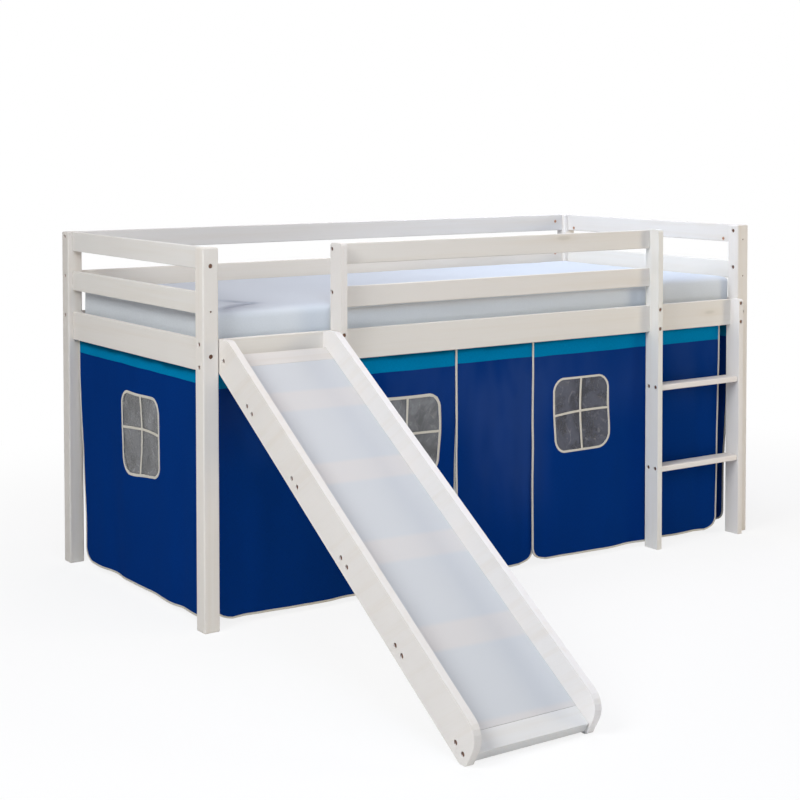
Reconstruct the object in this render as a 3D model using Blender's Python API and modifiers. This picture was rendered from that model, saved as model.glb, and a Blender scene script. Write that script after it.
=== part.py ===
"""Low loft bed of whitewashed pine with a slide, a ladder and play curtains.

Lengths are metres, X runs along the bed, Y from the slide side to the back, Z up.
The pieces are placed from the outer corner of the front left post, and an empty
moves that corner so that the origin lies under the middle of the whole part.
"""

import math

import bmesh
import bpy
from mathutils import Matrix, Vector

# Whole bed
BED_LENGTH = 2.090
BED_WIDTH = 0.975
POST_HEIGHT = 1.060
POST_SIZE = 0.048
RAIL_HEIGHT = 0.060
RAIL_THICKNESS = 0.018
RAIL_PITCH = 0.125
SIDE_HEIGHT = 0.088
SIDE_RAIL_DROP = 0.254
SEAT_GAP = 0.0003
EDGE_ROUND = 0.0025
POST_ROUND = 0.004

# Guard and ladder uprights
UPRIGHT_DEPTH = 0.060
UPRIGHT_THICKNESS = 0.020
UPRIGHT_DROP = 0.002
UPRIGHT_ROUND = 0.010
GUARD_DROP = 0.005
GUARD_START = 0.426
LADDER_CLEAR_WIDTH = 0.3528
LADDER_TOP_RISE = 0.002
STEP_COUNT = 2
STEP_LIFT = 0.0045
LADDER_HEAD_LIFT = 0.0085
STEP_THICKNESS = 0.019
STEP_DEPTH = 0.054
STEP_INSET = 0.002

# Slide
SLIDE_ANGLE = math.radians(31.65)
SLIDE_START = 0.050
SLIDE_WIDTH = 0.360
SLIDE_BOARD = 0.020
SLIDE_LINE_RISE = 0.027
SLIDE_BELOW_LINE = 0.028
SLIDE_ABOVE_LINE = 0.080
SLIDE_END_RISE = 0.0131
SLIDE_LEAN = 0.030
SLIDE_NOSE_ROUND = 0.048
SLIDE_TOP_ROUND = 0.032
SLIDE_TIP_ROUND = 0.010
SLIDE_EDGE_ROUND = 0.009
SLIDE_SLAT_WIDTH = 0.066
SLIDE_SLAT_THICKNESS = 0.022
SLIDE_PANEL_THICKNESS = 0.004
SLIDE_REBATE = 0.012
SLIDE_TOP_SETBACK = 0.008
SLIDE_BOTTOM_SETBACK = 0.006
SLIDE_FIRST_SPAN = 0.1805
SLIDE_MIDDLE_SLATS = 4

# Bed base and mattress
LEDGER_HEIGHT = 0.022
LEDGER_DEPTH = 0.022
LEDGER_RISE = 0.024
SLAT_COUNT = 12
SLAT_WIDTH = 0.070
SLAT_THICKNESS = 0.017
SLAT_END_PLAY = 0.001
SLAT_FIRST_GAP = 0.012
MATTRESS_THICKNESS = 0.100
MATTRESS_SIDE_PLAY = 0.0045
MATTRESS_END_PLAY = 0.006
MATTRESS_CROWN = 0.006
MATTRESS_DRAW_IN = 0.003

# Curtains and their windows
CLOTH_THICKNESS = 0.003
CLOTH_TOP_DROP = 0.001
CLOTH_FLOOR_GAP = 0.020
CLOTH_CORNER = 0.050
CLOTH_POST_GAP = 0.001
CLOTH_SPLIT_GAP = 0.004
CLOTH_CELL = 0.040
FOLD_DEPTH = 0.010
FOLD_PITCH = 0.230
FRONT_LEFT_CLOTH = 0.8185
FRONT_DOOR_CLOTH = 0.294
FRONT_RIGHT_END_GAP = 0.052
FRONT_WINDOW_WIDTH = 0.235
END_WINDOW_WIDTH = 0.256
WINDOW_HEIGHT = 0.240
WINDOW_DROP = 0.149
WINDOW_CORNER = 0.030
WINDOW_EDGE_GAP = 0.054
WINDOW_LAP = 0.010
WINDOW_FILM = 0.0015
WINDOW_GAP = 0.0005
FRONT_RIGHT_WINDOW_START = 0.089
END_WINDOW_START = 0.3025

# Bolt recesses
BOLT_RADIUS = 0.0067
FINE_BOLT_RADIUS = 0.003
BOLT_DEPTH = 0.008
BOLT_RISE = 0.015
END_BOLT_DROP = 0.020
SIDE_BOLT_SPREAD = 0.063
SIDE_BOLT_RISE = 0.0135
STEP_BOLT_SPREAD = 0.032
STEP_BOLT_DROP = 0.0065
STEP_BOLT_SETBACK = 0.002
SLIDE_BOLT_SPREAD = 0.0326
SLIDE_TOP_BOLT_ALONG = 0.018
SLIDE_TOP_BOLT_OVER = 0.018
CUT_OVERRUN = 0.004

# Shades of the parts of a piece, all shares of a size that it follows
MATTRESS_LEVEL_SHARES = (0.0, 0.25, 0.75, 1.0)
MATTRESS_LENGTH_SHARES = (0.2, 0.4, 0.6, 0.8)
MATTRESS_WIDTH_SHARES = (0.33, 0.67)
FOLD_START_SHARE = 0.15
MATTRESS_CORNER_SHARE = 0.175

# Heights and places that follow from the sizes above
RAIL_FRONT = (POST_SIZE - RAIL_THICKNESS) / 2
RAIL_BACK = RAIL_FRONT + RAIL_THICKNESS
SIDE_TOP = POST_HEIGHT - SIDE_RAIL_DROP
SIDE_BOTTOM = SIDE_TOP - SIDE_HEIGHT
END_RAIL_BOTTOM = POST_HEIGHT - RAIL_HEIGHT
GUARD_RAIL_BOTTOM = END_RAIL_BOTTOM - GUARD_DROP
LADDER_RIGHT = BED_LENGTH - POST_SIZE - SEAT_GAP
LADDER_RIGHT_START = LADDER_RIGHT - UPRIGHT_THICKNESS
LADDER_LEFT_START = LADDER_RIGHT_START - LADDER_CLEAR_WIDTH - UPRIGHT_THICKNESS
LEDGER_BOTTOM = SIDE_BOTTOM + LEDGER_RISE
SLAT_BOTTOM = LEDGER_BOTTOM + LEDGER_HEIGHT + SEAT_GAP
MATTRESS_BOTTOM = SLAT_BOTTOM + SLAT_THICKNESS + SEAT_GAP
MATTRESS_CORNER = (POST_SIZE - RAIL_BACK - MATTRESS_SIDE_PLAY) / MATTRESS_CORNER_SHARE
CLOTH_TOP = LEDGER_BOTTOM - CLOTH_TOP_DROP
CLOTH_PLACE = RAIL_BACK + SEAT_GAP
LINE_START = SIDE_BOTTOM + SLIDE_LINE_RISE
SLIDE_END = (LINE_START - SLIDE_END_RISE) / math.sin(SLIDE_ANGLE)
SLIDE_INNER = SLIDE_WIDTH - 2 * SLIDE_BOARD
STEP_PITCH = (SIDE_TOP + LADDER_HEAD_LIFT - STEP_LIFT) / (STEP_COUNT + 1)
WINDOW_SILL = CLOTH_TOP - WINDOW_DROP - WINDOW_HEIGHT

ARC_STEPS = 6
HOLE_SIDES = 12


def clear_scene():
    for thing in list(bpy.data.objects):
        bpy.data.objects.remove(thing, do_unlink=True)


def collection(name):
    made = bpy.data.collections.new(name)
    bpy.context.scene.collection.children.link(made)
    return made


def finish_material(name, colour, roughness, metallic=0.0):
    material = bpy.data.materials.new(name)
    material.use_nodes = True
    shader = material.node_tree.nodes["Principled BSDF"]
    shader.inputs["Base Color"].default_value = (*colour, 1.0)
    shader.inputs["Roughness"].default_value = roughness
    shader.inputs["Metallic"].default_value = metallic
    material.diffuse_color = (*colour, 1.0)
    return material


clear_scene()
PARTS = collection("loft_bed")
CUTTERS = collection("loft_bed_cutters")
BED = bpy.data.objects.new("bed_corner", None)
PARTS.objects.link(BED)

PINE = finish_material("whitewashed_pine", (0.72, 0.69, 0.64), 0.55)
PINE_SLAT = finish_material("plain_pine_slat", (0.70, 0.62, 0.48), 0.6)
SLIDE_SHEET = finish_material("milky_slide_sheet", (0.60, 0.64, 0.70), 0.25)
MATTRESS_CLOTH = finish_material("mattress_cloth", (0.66, 0.70, 0.80), 0.85)
CURTAIN_CLOTH = finish_material("navy_curtain_cloth", (0.008, 0.028, 0.13), 0.8)
WINDOW_SHEET = finish_material("clear_window_film", (0.42, 0.45, 0.50), 0.3)


def add_piece(name, mesh, material, place=(0, 0, 0), turn=(0, 0, 0), home=PARTS):
    piece = bpy.data.objects.new(name, mesh)
    home.objects.link(piece)
    piece.parent = BED
    piece.location = place
    piece.rotation_euler = turn
    if material:
        mesh.materials.append(material)
    return piece


def face_outwards(work):
    bmesh.ops.recalc_face_normals(work, faces=work.faces)
    if work.calc_volume(signed=True) < 0:
        bmesh.ops.reverse_faces(work, faces=work.faces)


def mesh_from(work, name):
    face_outwards(work)
    mesh = bpy.data.meshes.new(name)
    work.to_mesh(mesh)
    work.free()
    return mesh


def round_edges(piece, width, segments=2):
    bevel = piece.modifiers.new("rounded_edges", "BEVEL")
    bevel.width = width
    bevel.segments = segments
    bevel.limit_method = "ANGLE"
    bevel.angle_limit = math.radians(40)
    return piece


def plank(name, low, high, material=PINE, edge=EDGE_ROUND, turn=(0, 0, 0)):
    """A straight board between two corners, with its edges rounded."""
    size = Vector(high) - Vector(low)
    work = bmesh.new()
    bmesh.ops.create_cube(work, size=1.0)
    bmesh.ops.scale(work, vec=size, verts=work.verts)
    centre = (Vector(low) + Vector(high)) / 2
    return round_edges(add_piece(name, mesh_from(work, name), material, centre, turn), edge)


def corner_arc(before, corner, after, radius):
    """The points that round one corner of an outline."""
    if radius == 0:
        return [corner]
    into = (before - corner).normalized()
    out = (after - corner).normalized()
    half = into.angle(out) / 2
    reach = min(radius / math.tan(half), (before - corner).length, (after - corner).length)
    radius = reach * math.tan(half)
    centre = corner + (into + out).normalized() * (radius / math.sin(half))
    start = corner + into * reach - centre
    end = corner + out * reach - centre
    turn = start.angle_signed(end)
    points = []
    for step in range(ARC_STEPS + 1):
        angle = -turn * step / ARC_STEPS
        spin = Matrix.Rotation(angle, 2)
        points.append(centre + spin @ start)
    return points


def rounded_outline(corners):
    """Corners are (across, up, radius); the result is a closed ring of points."""
    spots = [Vector((across, up)) for across, up, _ in corners]
    ring = []
    for index, (_, _, radius) in enumerate(corners):
        before = spots[index - 1]
        after = spots[(index + 1) % len(spots)]
        ring.extend(corner_arc(before, spots[index], after, radius))
    return ring


def outline_mesh(name, rings, thickness):
    """A flat outline, with any inner rings as holes, drawn as a 2D curve and made a mesh."""
    curve = bpy.data.curves.new(name, "CURVE")
    curve.dimensions = "2D"
    curve.fill_mode = "BOTH"
    curve.extrude = thickness / 2
    for ring in rings:
        spline = curve.splines.new("POLY")
        spline.points.add(len(ring) - 1)
        spline.use_cyclic_u = True
        for point, spot in zip(spline.points, ring):
            point.co = (spot[0], spot[1], 0, 1)
    drawn = bpy.data.objects.new(name + "_outline", curve)
    CUTTERS.objects.link(drawn)
    graph = bpy.context.evaluated_depsgraph_get()
    mesh = bpy.data.meshes.new_from_object(drawn.evaluated_get(graph))
    work = bmesh.new()
    work.from_mesh(mesh)
    bmesh.ops.remove_doubles(work, verts=work.verts, dist=SEAT_GAP / 10)
    bpy.data.objects.remove(drawn, do_unlink=True)
    bpy.data.meshes.remove(mesh)
    return mesh_from(work, name)


SIDE_VIEW = (math.pi / 2, 0, math.pi / 2)
FRONT_VIEW = (math.pi / 2, 0, 0)


def cutter(name, mesh, place=(0, 0, 0), turn=(0, 0, 0)):
    tool = add_piece(name, mesh, None, place, turn, CUTTERS)
    tool.hide_render = True
    tool.display_type = "WIRE"
    return tool


def boolean(piece, tool, operation):
    cut = piece.modifiers.new(tool.name, "BOOLEAN")
    cut.operation = operation
    cut.solver = "EXACT"
    cut.object = tool
    return piece


def drill(piece, mouths, fine=()):
    """Bolt recesses. Each mouth is the place on the surface and the way into the wood."""
    work = bmesh.new()
    sizes = [(mouth, BOLT_RADIUS) for mouth in mouths] + [(mouth, FINE_BOLT_RADIUS) for mouth in fine]
    for (place, way), radius in sizes:
        inward = Vector(way).normalized()
        middle = Vector(place) + inward * (BOLT_DEPTH - CUT_OVERRUN) / 2
        frame = Matrix.Translation(middle) @ inward.to_track_quat("Z", "Y").to_matrix().to_4x4()
        bmesh.ops.create_cone(
            work,
            cap_ends=True,
            segments=HOLE_SIDES,
            radius1=radius,
            radius2=radius,
            depth=BOLT_DEPTH + CUT_OVERRUN,
            matrix=frame,
        )
    return boolean(piece, cutter(piece.name + "_bolt_cutter", mesh_from(work, "bolts")), "DIFFERENCE")


END_BOLT_HEIGHTS = (
    END_RAIL_BOTTOM + RAIL_HEIGHT / 2 - END_BOLT_DROP,
    END_RAIL_BOTTOM - RAIL_PITCH + RAIL_HEIGHT / 2 - END_BOLT_DROP,
    SIDE_BOTTOM + SIDE_HEIGHT / 2,
)
LONG_BOLT_HEIGHTS = (
    END_RAIL_BOTTOM + RAIL_HEIGHT / 2 + BOLT_RISE,
    END_RAIL_BOTTOM - RAIL_PITCH + RAIL_HEIGHT / 2 + BOLT_RISE,
)
GUARD_BOLT_HEIGHTS = tuple(height - GUARD_DROP for height in LONG_BOLT_HEIGHTS)
SIDE_BOLT_HEIGHTS = (
    SIDE_BOTTOM + SIDE_BOLT_RISE,
    SIDE_BOTTOM + SIDE_BOLT_RISE + SIDE_BOLT_SPREAD,
)


def make_posts():
    """Four square posts, bored for the bolts of the end rails and of the long rails."""
    for side, left in (("left", 0), ("right", BED_LENGTH - POST_SIZE)):
        for row, front in (("front", 0), ("back", BED_WIDTH - POST_SIZE)):
            low = (left, front, 0)
            high = (left + POST_SIZE, front + POST_SIZE, POST_HEIGHT)
            post = plank(f"post_{row}_{side}", low, high, PINE, POST_ROUND)
            outer_x = left if side == "left" else left + POST_SIZE
            outer_y = front if row == "front" else front + POST_SIZE
            into_x = (1 if side == "left" else -1, 0, 0)
            into_y = (0, 1 if row == "front" else -1, 0)
            middle_y = front + POST_SIZE / 2
            heights = SIDE_BOLT_HEIGHTS if row == "front" else SIDE_BOLT_HEIGHTS[1:] + LONG_BOLT_HEIGHTS
            mouths = [((outer_x, middle_y, height), into_x) for height in heights]
            if row == "front" and side == "right":
                mouths.extend(((left, middle_y, height), (1, 0, 0)) for height in GUARD_BOLT_HEIGHTS)
            fine_heights = END_BOLT_HEIGHTS[1:2] if side == "left" else END_BOLT_HEIGHTS[:2]
            fine = []
            for height in END_BOLT_HEIGHTS:
                row_of_mouths = fine if height in fine_heights else mouths
                row_of_mouths.append(((left + POST_SIZE / 2, outer_y, height), into_y))
            drill(post, mouths, fine)


def make_end_rails():
    """Two rails and a deep board between the posts at each end."""
    low_y = POST_SIZE + SEAT_GAP
    high_y = BED_WIDTH - POST_SIZE - SEAT_GAP
    levels = (
        ("top_rail", END_RAIL_BOTTOM, RAIL_HEIGHT),
        ("middle_rail", END_RAIL_BOTTOM - RAIL_PITCH, RAIL_HEIGHT),
        ("board", SIDE_BOTTOM, SIDE_HEIGHT),
    )
    for side, start in (("left", RAIL_FRONT), ("right", BED_LENGTH - RAIL_BACK)):
        for word, bottom, height in levels:
            low = (start, low_y, bottom)
            high = (start + RAIL_THICKNESS, high_y, bottom + height)
            plank(f"{side}_end_{word}", low, high)


def make_long_rails():
    """The side rails, and the two upper rails along the back."""
    low_x = POST_SIZE + SEAT_GAP
    high_x = BED_LENGTH - POST_SIZE - SEAT_GAP
    back = BED_WIDTH - RAIL_BACK
    levels = (
        ("back_top_rail", back, END_RAIL_BOTTOM, RAIL_HEIGHT),
        ("back_middle_rail", back, END_RAIL_BOTTOM - RAIL_PITCH, RAIL_HEIGHT),
        ("back_side_rail", back, SIDE_BOTTOM, SIDE_HEIGHT),
        ("front_side_rail", RAIL_FRONT, SIDE_BOTTOM, SIDE_HEIGHT),
    )
    for name, start, bottom, height in levels:
        low = (low_x, start, bottom)
        high = (high_x, start + RAIL_THICKNESS, bottom + height)
        plank(name, low, high)


def upright(name, start, foot, top, mouths):
    """A flat upright, let in over the front side rail so that its back is flush with the rail's."""
    front = RAIL_BACK - UPRIGHT_DEPTH
    seat = RAIL_FRONT - SEAT_GAP
    notch_low = SIDE_BOTTOM - SEAT_GAP
    notch_high = SIDE_TOP + SEAT_GAP
    corners = [(front, foot, 0)]
    if foot < notch_low:
        corners.append((RAIL_BACK, foot, 0))
        corners.append((RAIL_BACK, notch_low, 0))
        corners.append((seat, notch_low, 0))
    else:
        corners.append((seat, foot, 0))
    if top > notch_high + UPRIGHT_ROUND:
        corners.append((seat, notch_high, 0))
        corners.append((RAIL_BACK, notch_high, 0))
        corners.append((RAIL_BACK, top, UPRIGHT_ROUND))
    else:
        corners.append((seat, top, UPRIGHT_ROUND))
    corners.append((front, top, UPRIGHT_ROUND))
    mesh = outline_mesh(name, [rounded_outline(corners)], UPRIGHT_THICKNESS)
    place = (start + UPRIGHT_THICKNESS / 2, 0, 0)
    piece = round_edges(add_piece(name, mesh, PINE, place, SIDE_VIEW), EDGE_ROUND)
    for height in SIDE_BOLT_HEIGHTS:
        mouths.append(((start + UPRIGHT_THICKNESS / 2, front, height), (0, 1, 0)))
    return drill(piece, mouths)


def step_levels():
    return [(word, STEP_LIFT + STEP_PITCH * count) for word, count in (("lower", 1), ("upper", 2))]


def make_guard_and_ladder():
    """The guard rails between two uprights, and the ladder with its flat steps."""
    top = POST_HEIGHT - UPRIGHT_DROP
    rail_middle = (RAIL_FRONT + RAIL_BACK) / 2
    guard_mouths = [((GUARD_START, rail_middle, height), (1, 0, 0)) for height in GUARD_BOLT_HEIGHTS]
    upright("guard_left_upright", GUARD_START, SIDE_BOTTOM, top, guard_mouths)

    step_low = RAIL_BACK - STEP_INSET - STEP_DEPTH
    step_middle = step_low + STEP_DEPTH / 2
    left_face = LADDER_LEFT_START
    right_face = LADDER_LEFT_START + UPRIGHT_THICKNESS
    ladder_mouths = [((right_face, rail_middle, height), (-1, 0, 0)) for height in GUARD_BOLT_HEIGHTS]
    for _, height in step_levels():
        middle = height - STEP_BOLT_DROP
        for way in (-1, 1):
            across = step_middle - STEP_BOLT_SETBACK + way * STEP_BOLT_SPREAD / 2
            ladder_mouths.append(((left_face, across, middle), (1, 0, 0)))
    upright("ladder_left_upright", LADDER_LEFT_START, 0, top, ladder_mouths)
    upright("ladder_right_upright", LADDER_RIGHT_START, 0, SIDE_TOP + LADDER_TOP_RISE, [])

    rail_low = GUARD_START + UPRIGHT_THICKNESS + SEAT_GAP
    rail_high = LADDER_LEFT_START - SEAT_GAP
    for name, bottom in (("guard_top_rail", GUARD_RAIL_BOTTOM), ("guard_lower_rail", GUARD_RAIL_BOTTOM - RAIL_PITCH)):
        low = (rail_low, RAIL_FRONT, bottom)
        high = (rail_high, RAIL_BACK, bottom + RAIL_HEIGHT)
        plank(name, low, high)

    for word, height in step_levels():
        low = (right_face + SEAT_GAP, step_low, height - STEP_THICKNESS)
        high = (LADDER_RIGHT_START - SEAT_GAP, step_low + STEP_DEPTH, height)
        plank(f"ladder_{word}_step", low, high, PINE, POST_ROUND)


def slide_place(along, over):
    """Where a point of the slide lies, as depth and height. The line of its bolts is over = 0."""
    depth = -(along * math.cos(SLIDE_ANGLE) + over * math.sin(SLIDE_ANGLE))
    height = LINE_START - along * math.sin(SLIDE_ANGLE) + over * math.cos(SLIDE_ANGLE)
    return depth, height


def slide_board_outline():
    """Plank on edge: cut upright at the side rail, square with a round nose at the floor."""
    sine = math.sin(SLIDE_ANGLE)
    cosine = math.cos(SLIDE_ANGLE)
    back = RAIL_FRONT - SEAT_GAP
    clip = SIDE_TOP + LADDER_TOP_RISE
    top_along = -(back - SLIDE_BELOW_LINE * sine) / cosine
    floor_along = (LINE_START - SLIDE_BELOW_LINE * cosine) / sine
    tip_over = (SLIDE_END * sine - LINE_START) / cosine
    clip_along = (LINE_START + SLIDE_ABOVE_LINE * cosine - clip) / sine
    corners = [
        (*slide_place(top_along, -SLIDE_BELOW_LINE), 0),
        (*slide_place(floor_along, -SLIDE_BELOW_LINE), 0),
        (*slide_place(SLIDE_END, tip_over), SLIDE_TIP_ROUND),
        (*slide_place(SLIDE_END, SLIDE_ABOVE_LINE), SLIDE_NOSE_ROUND),
        (*slide_place(clip_along, SLIDE_ABOVE_LINE), SLIDE_TOP_ROUND),
        (back, clip, SLIDE_TIP_ROUND),
    ]
    return rounded_outline(corners)


def slide_slat_middles():
    """How far along the slide the middle of each cross slat lies, from the top one down."""
    first = SLIDE_SLAT_WIDTH / 2 - SLIDE_TOP_SETBACK
    start = first + SLIDE_FIRST_SPAN
    last = SLIDE_END - SLIDE_BOTTOM_SETBACK - SLIDE_SLAT_WIDTH / 2
    pitch = (last - start) / SLIDE_MIDDLE_SLATS
    return [first] + [start + pitch * index for index in range(SLIDE_MIDDLE_SLATS + 1)]


def slide_bolt_mouths(face, into):
    mouths = []
    middles = slide_slat_middles()
    for middle in middles[1:]:
        for way in (-1, 1):
            depth, height = slide_place(middle + way * SLIDE_BOLT_SPREAD / 2, 0)
            mouths.append(((face, depth, height), into))
    depth, height = slide_place(SLIDE_TOP_BOLT_ALONG, SLIDE_TOP_BOLT_OVER)
    mouths.append(((face, depth, height), into))
    return mouths


def slide_boards():
    outline = slide_board_outline()
    right = SLIDE_START + SLIDE_WIDTH
    sides = (
        ("slide_left_board", SLIDE_START + SLIDE_BOARD / 2, SLIDE_START, (1, 0, 0)),
        ("slide_right_board", right - SLIDE_BOARD / 2, right, (-1, 0, 0)),
    )
    for name, middle, face, into in sides:
        mesh = outline_mesh(name, [outline], SLIDE_BOARD)
        board = add_piece(name, mesh, PINE, (middle, 0, 0), SIDE_VIEW)
        drill(round_edges(board, SLIDE_EDGE_ROUND, 3), slide_bolt_mouths(face, into))
    return outline


def end_slat(name, middle, way):
    """A slat at the slide's end: the sheet lies in its rebate. Way is +1 where the sheet is below it."""
    low = -SLIDE_SLAT_THICKNESS / 2
    seat = SLIDE_SLAT_THICKNESS / 2
    top = seat + SEAT_GAP + SLIDE_PANEL_THICKNESS
    outer = middle - way * SLIDE_SLAT_WIDTH / 2
    inner = middle + way * SLIDE_SLAT_WIDTH / 2
    step = inner - way * SLIDE_REBATE
    spots = [(outer, low), (inner, low), (inner, seat), (step, seat), (step, top), (outer, top)]
    corners = [(*slide_place(along, over), 0) for along, over in spots]
    mesh = outline_mesh(name, [rounded_outline(corners)], SLIDE_INNER - 2 * SEAT_GAP)
    place = (SLIDE_START + SLIDE_WIDTH / 2, 0, 0)
    return round_edges(add_piece(name, mesh, PINE, place, SIDE_VIEW), EDGE_ROUND / 2)


def lying_board(name, middle, over, width, thickness, material, edge):
    """A board that lies across the slide, tipped to the slide's slope."""
    depth, height = slide_place(middle, over)
    centre = Vector((SLIDE_START + SLIDE_WIDTH / 2, depth, height))
    half = Vector((SLIDE_INNER / 2 - SEAT_GAP, width / 2, thickness / 2))
    return plank(name, centre - half, centre + half, material, edge, (SLIDE_ANGLE, 0, 0))


def lean_slide(outline):
    """Racks the whole slide, so that its foot stands a little to the left of its top."""
    back = RAIL_FRONT - SEAT_GAP
    share = SLIDE_LEAN / (back - min(depth for depth, _ in outline))
    lean = Matrix.Identity(4)
    lean[0][1] = share
    lean[0][3] = -share * back
    for group in (PARTS, CUTTERS):
        for piece in group.objects:
            if piece.name.startswith("slide_"):
                piece.data.transform(lean @ piece.matrix_basis)
                piece.matrix_basis = Matrix.Identity(4)


def make_slide():
    """Two boards on edge, six cross slats and the smooth sheet that lies on them."""
    outline = slide_boards()
    middles = slide_slat_middles()
    end_slat("slide_top_slat", middles[0], 1)
    end_slat("slide_bottom_slat", middles[-1], -1)
    for index, middle in enumerate(middles[1:-1], 1):
        lying_board(
            f"slide_slat_{index}", middle, 0, SLIDE_SLAT_WIDTH, SLIDE_SLAT_THICKNESS, PINE, EDGE_ROUND
        )
    reach = SLIDE_SLAT_WIDTH / 2 - SLIDE_REBATE + SEAT_GAP
    start = middles[0] + reach
    end = middles[-1] - reach
    over = SLIDE_SLAT_THICKNESS / 2 + SEAT_GAP + SLIDE_PANEL_THICKNESS / 2
    lying_board(
        "slide_panel",
        (start + end) / 2,
        over,
        end - start,
        SLIDE_PANEL_THICKNESS,
        SLIDE_SHEET,
        SLIDE_PANEL_THICKNESS / 8,
    )
    lean_slide(outline)
    return outline


def make_bed_base():
    """Ledgers on the side rails and the slats that lie on them."""
    low_x = POST_SIZE + SEAT_GAP
    high_x = BED_LENGTH - POST_SIZE - SEAT_GAP
    front = RAIL_BACK + SEAT_GAP
    back = BED_WIDTH - RAIL_BACK - SEAT_GAP - LEDGER_DEPTH
    for name, start in (("front_ledger", front), ("back_ledger", back)):
        low = (low_x, start, LEDGER_BOTTOM)
        high = (high_x, start + LEDGER_DEPTH, LEDGER_BOTTOM + LEDGER_HEIGHT)
        plank(name, low, high, PINE_SLAT)
    first = low_x + SLAT_FIRST_GAP
    last = high_x - SLAT_FIRST_GAP - SLAT_WIDTH
    low_y = RAIL_BACK + SLAT_END_PLAY
    high_y = BED_WIDTH - low_y
    for index in range(SLAT_COUNT):
        start = first + (last - first) * index / (SLAT_COUNT - 1)
        low = (start, low_y, SLAT_BOTTOM)
        high = (start + SLAT_WIDTH, high_y, SLAT_BOTTOM + SLAT_THICKNESS)
        plank(f"bed_slat_{index + 1:02d}", low, high, PINE_SLAT)


def cut_across(work, axis, places):
    """Cuts the whole mesh at each place along one axis."""
    normal = Vector((0, 0, 0))
    normal[axis] = 1
    for place in places:
        everything = work.verts[:] + work.edges[:] + work.faces[:]
        bmesh.ops.bisect_plane(work, geom=everything, plane_co=normal * place, plane_no=normal)


def make_mattress():
    """Foam mattress: a low crown, sides drawn in, and corners rounded clear of the posts."""
    length = BED_LENGTH - 2 * (RAIL_BACK + MATTRESS_END_PLAY)
    width = BED_WIDTH - 2 * (RAIL_BACK + MATTRESS_SIDE_PLAY)
    work = bmesh.new()
    bmesh.ops.create_cube(work, size=1.0)
    bmesh.ops.translate(work, vec=(0.5, 0.5, 0.5), verts=work.verts)
    bmesh.ops.scale(work, vec=(length, width, MATTRESS_THICKNESS - MATTRESS_CROWN), verts=work.verts)
    middle = [length * share for share in MATTRESS_LENGTH_SHARES]
    cut_across(work, 0, [MATTRESS_CORNER, *middle, length - MATTRESS_CORNER])
    middle = [width * share for share in MATTRESS_WIDTH_SHARES]
    cut_across(work, 1, [MATTRESS_CORNER, *middle, width - MATTRESS_CORNER])
    level = MATTRESS_THICKNESS - MATTRESS_CROWN
    cut_across(work, 2, [level * share for share in MATTRESS_LEVEL_SHARES[1:-1]])
    for spot in work.verts:
        x, y, z = spot.co
        inside = min(x, y, length - x, width - y)
        if z > level * MATTRESS_LEVEL_SHARES[-2] and inside > MATTRESS_CORNER / 2:
            spot.co.z += MATTRESS_CROWN
        if 0 < z < level:
            draw = MATTRESS_DRAW_IN
            spot.co.x += draw if x == 0 else (-draw if x > length - draw else 0)
            spot.co.y += draw if y == 0 else (-draw if y > width - draw else 0)
    place = (RAIL_BACK + MATTRESS_END_PLAY, RAIL_BACK + MATTRESS_SIDE_PLAY, MATTRESS_BOTTOM)
    piece = add_piece("mattress", mesh_from(work, "mattress"), MATTRESS_CLOTH, place)
    soft = piece.modifiers.new("soft_form", "SUBSURF")
    soft.levels = 1
    soft.render_levels = 1
    return piece


def fall_share(height):
    """How much of a fold's depth shows at a height: none at the rail, all at the hem."""
    fall = (CLOTH_TOP - height) / (CLOTH_TOP - CLOTH_FLOOR_GAP)
    return max(0.0, fall - FOLD_START_SHARE) / (1 - FOLD_START_SHARE)


def fold_share(across):
    """The wave of the folds, straight between the cuts so that sheets lie on each other."""
    cell = math.floor(across / CLOTH_CELL)
    share = across / CLOTH_CELL - cell
    ends = [(1 - math.cos(2 * math.pi * (cell + step) * CLOTH_CELL / FOLD_PITCH)) / 2 for step in (0, 1)]
    return ends[0] * (1 - share) + ends[1] * share


def hanging_sheet(name, rings, low, high, layer, thickness, to_bed, material):
    """A thin sheet with the outline of the rings, hung in folds.

    Across and height are drawn flat, cut out, and then every point is taken to its
    place by to_bed(across, layer, height), with the layer counted inwards from the rail.
    """
    work = bmesh.new()
    bmesh.ops.create_cube(work, size=1.0)
    bmesh.ops.translate(work, vec=(0.5, 0.5, 0.5), verts=work.verts)
    bmesh.ops.scale(work, vec=(high[0] - low[0], thickness, high[1] - low[1]), verts=work.verts)
    bmesh.ops.translate(work, vec=(low[0], 0, low[1]), verts=work.verts)
    for axis, start, end, cell in ((0, low[0], high[0], CLOTH_CELL), (2, low[1], high[1], 2 * CLOTH_CELL)):
        first = math.floor(start / cell) + 1
        last = math.ceil(end / cell)
        cut_across(work, axis, [cell * step for step in range(first, last)])
    flat = add_piece(name + "_flat", mesh_from(work, name), None, home=CUTTERS)
    tool = cutter(name + "_shape", outline_mesh(name, rings, thickness + 2 * CUT_OVERRUN), turn=FRONT_VIEW)
    boolean(flat, tool, "INTERSECT")
    graph = bpy.context.evaluated_depsgraph_get()
    mesh = bpy.data.meshes.new_from_object(flat.evaluated_get(graph))
    mesh.name = name
    bpy.data.objects.remove(flat, do_unlink=True)
    bpy.data.objects.remove(tool, do_unlink=True)
    work = bmesh.new()
    work.from_mesh(mesh)
    for spot in work.verts:
        across, inward, height = spot.co
        inward = inward + layer + FOLD_DEPTH * fall_share(height) * fold_share(across)
        spot.co = to_bed(across, CLOTH_PLACE + inward, height)
    face_outwards(work)
    work.to_mesh(mesh)
    work.free()
    mesh.materials.clear()
    return add_piece(name, mesh, material)


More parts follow.
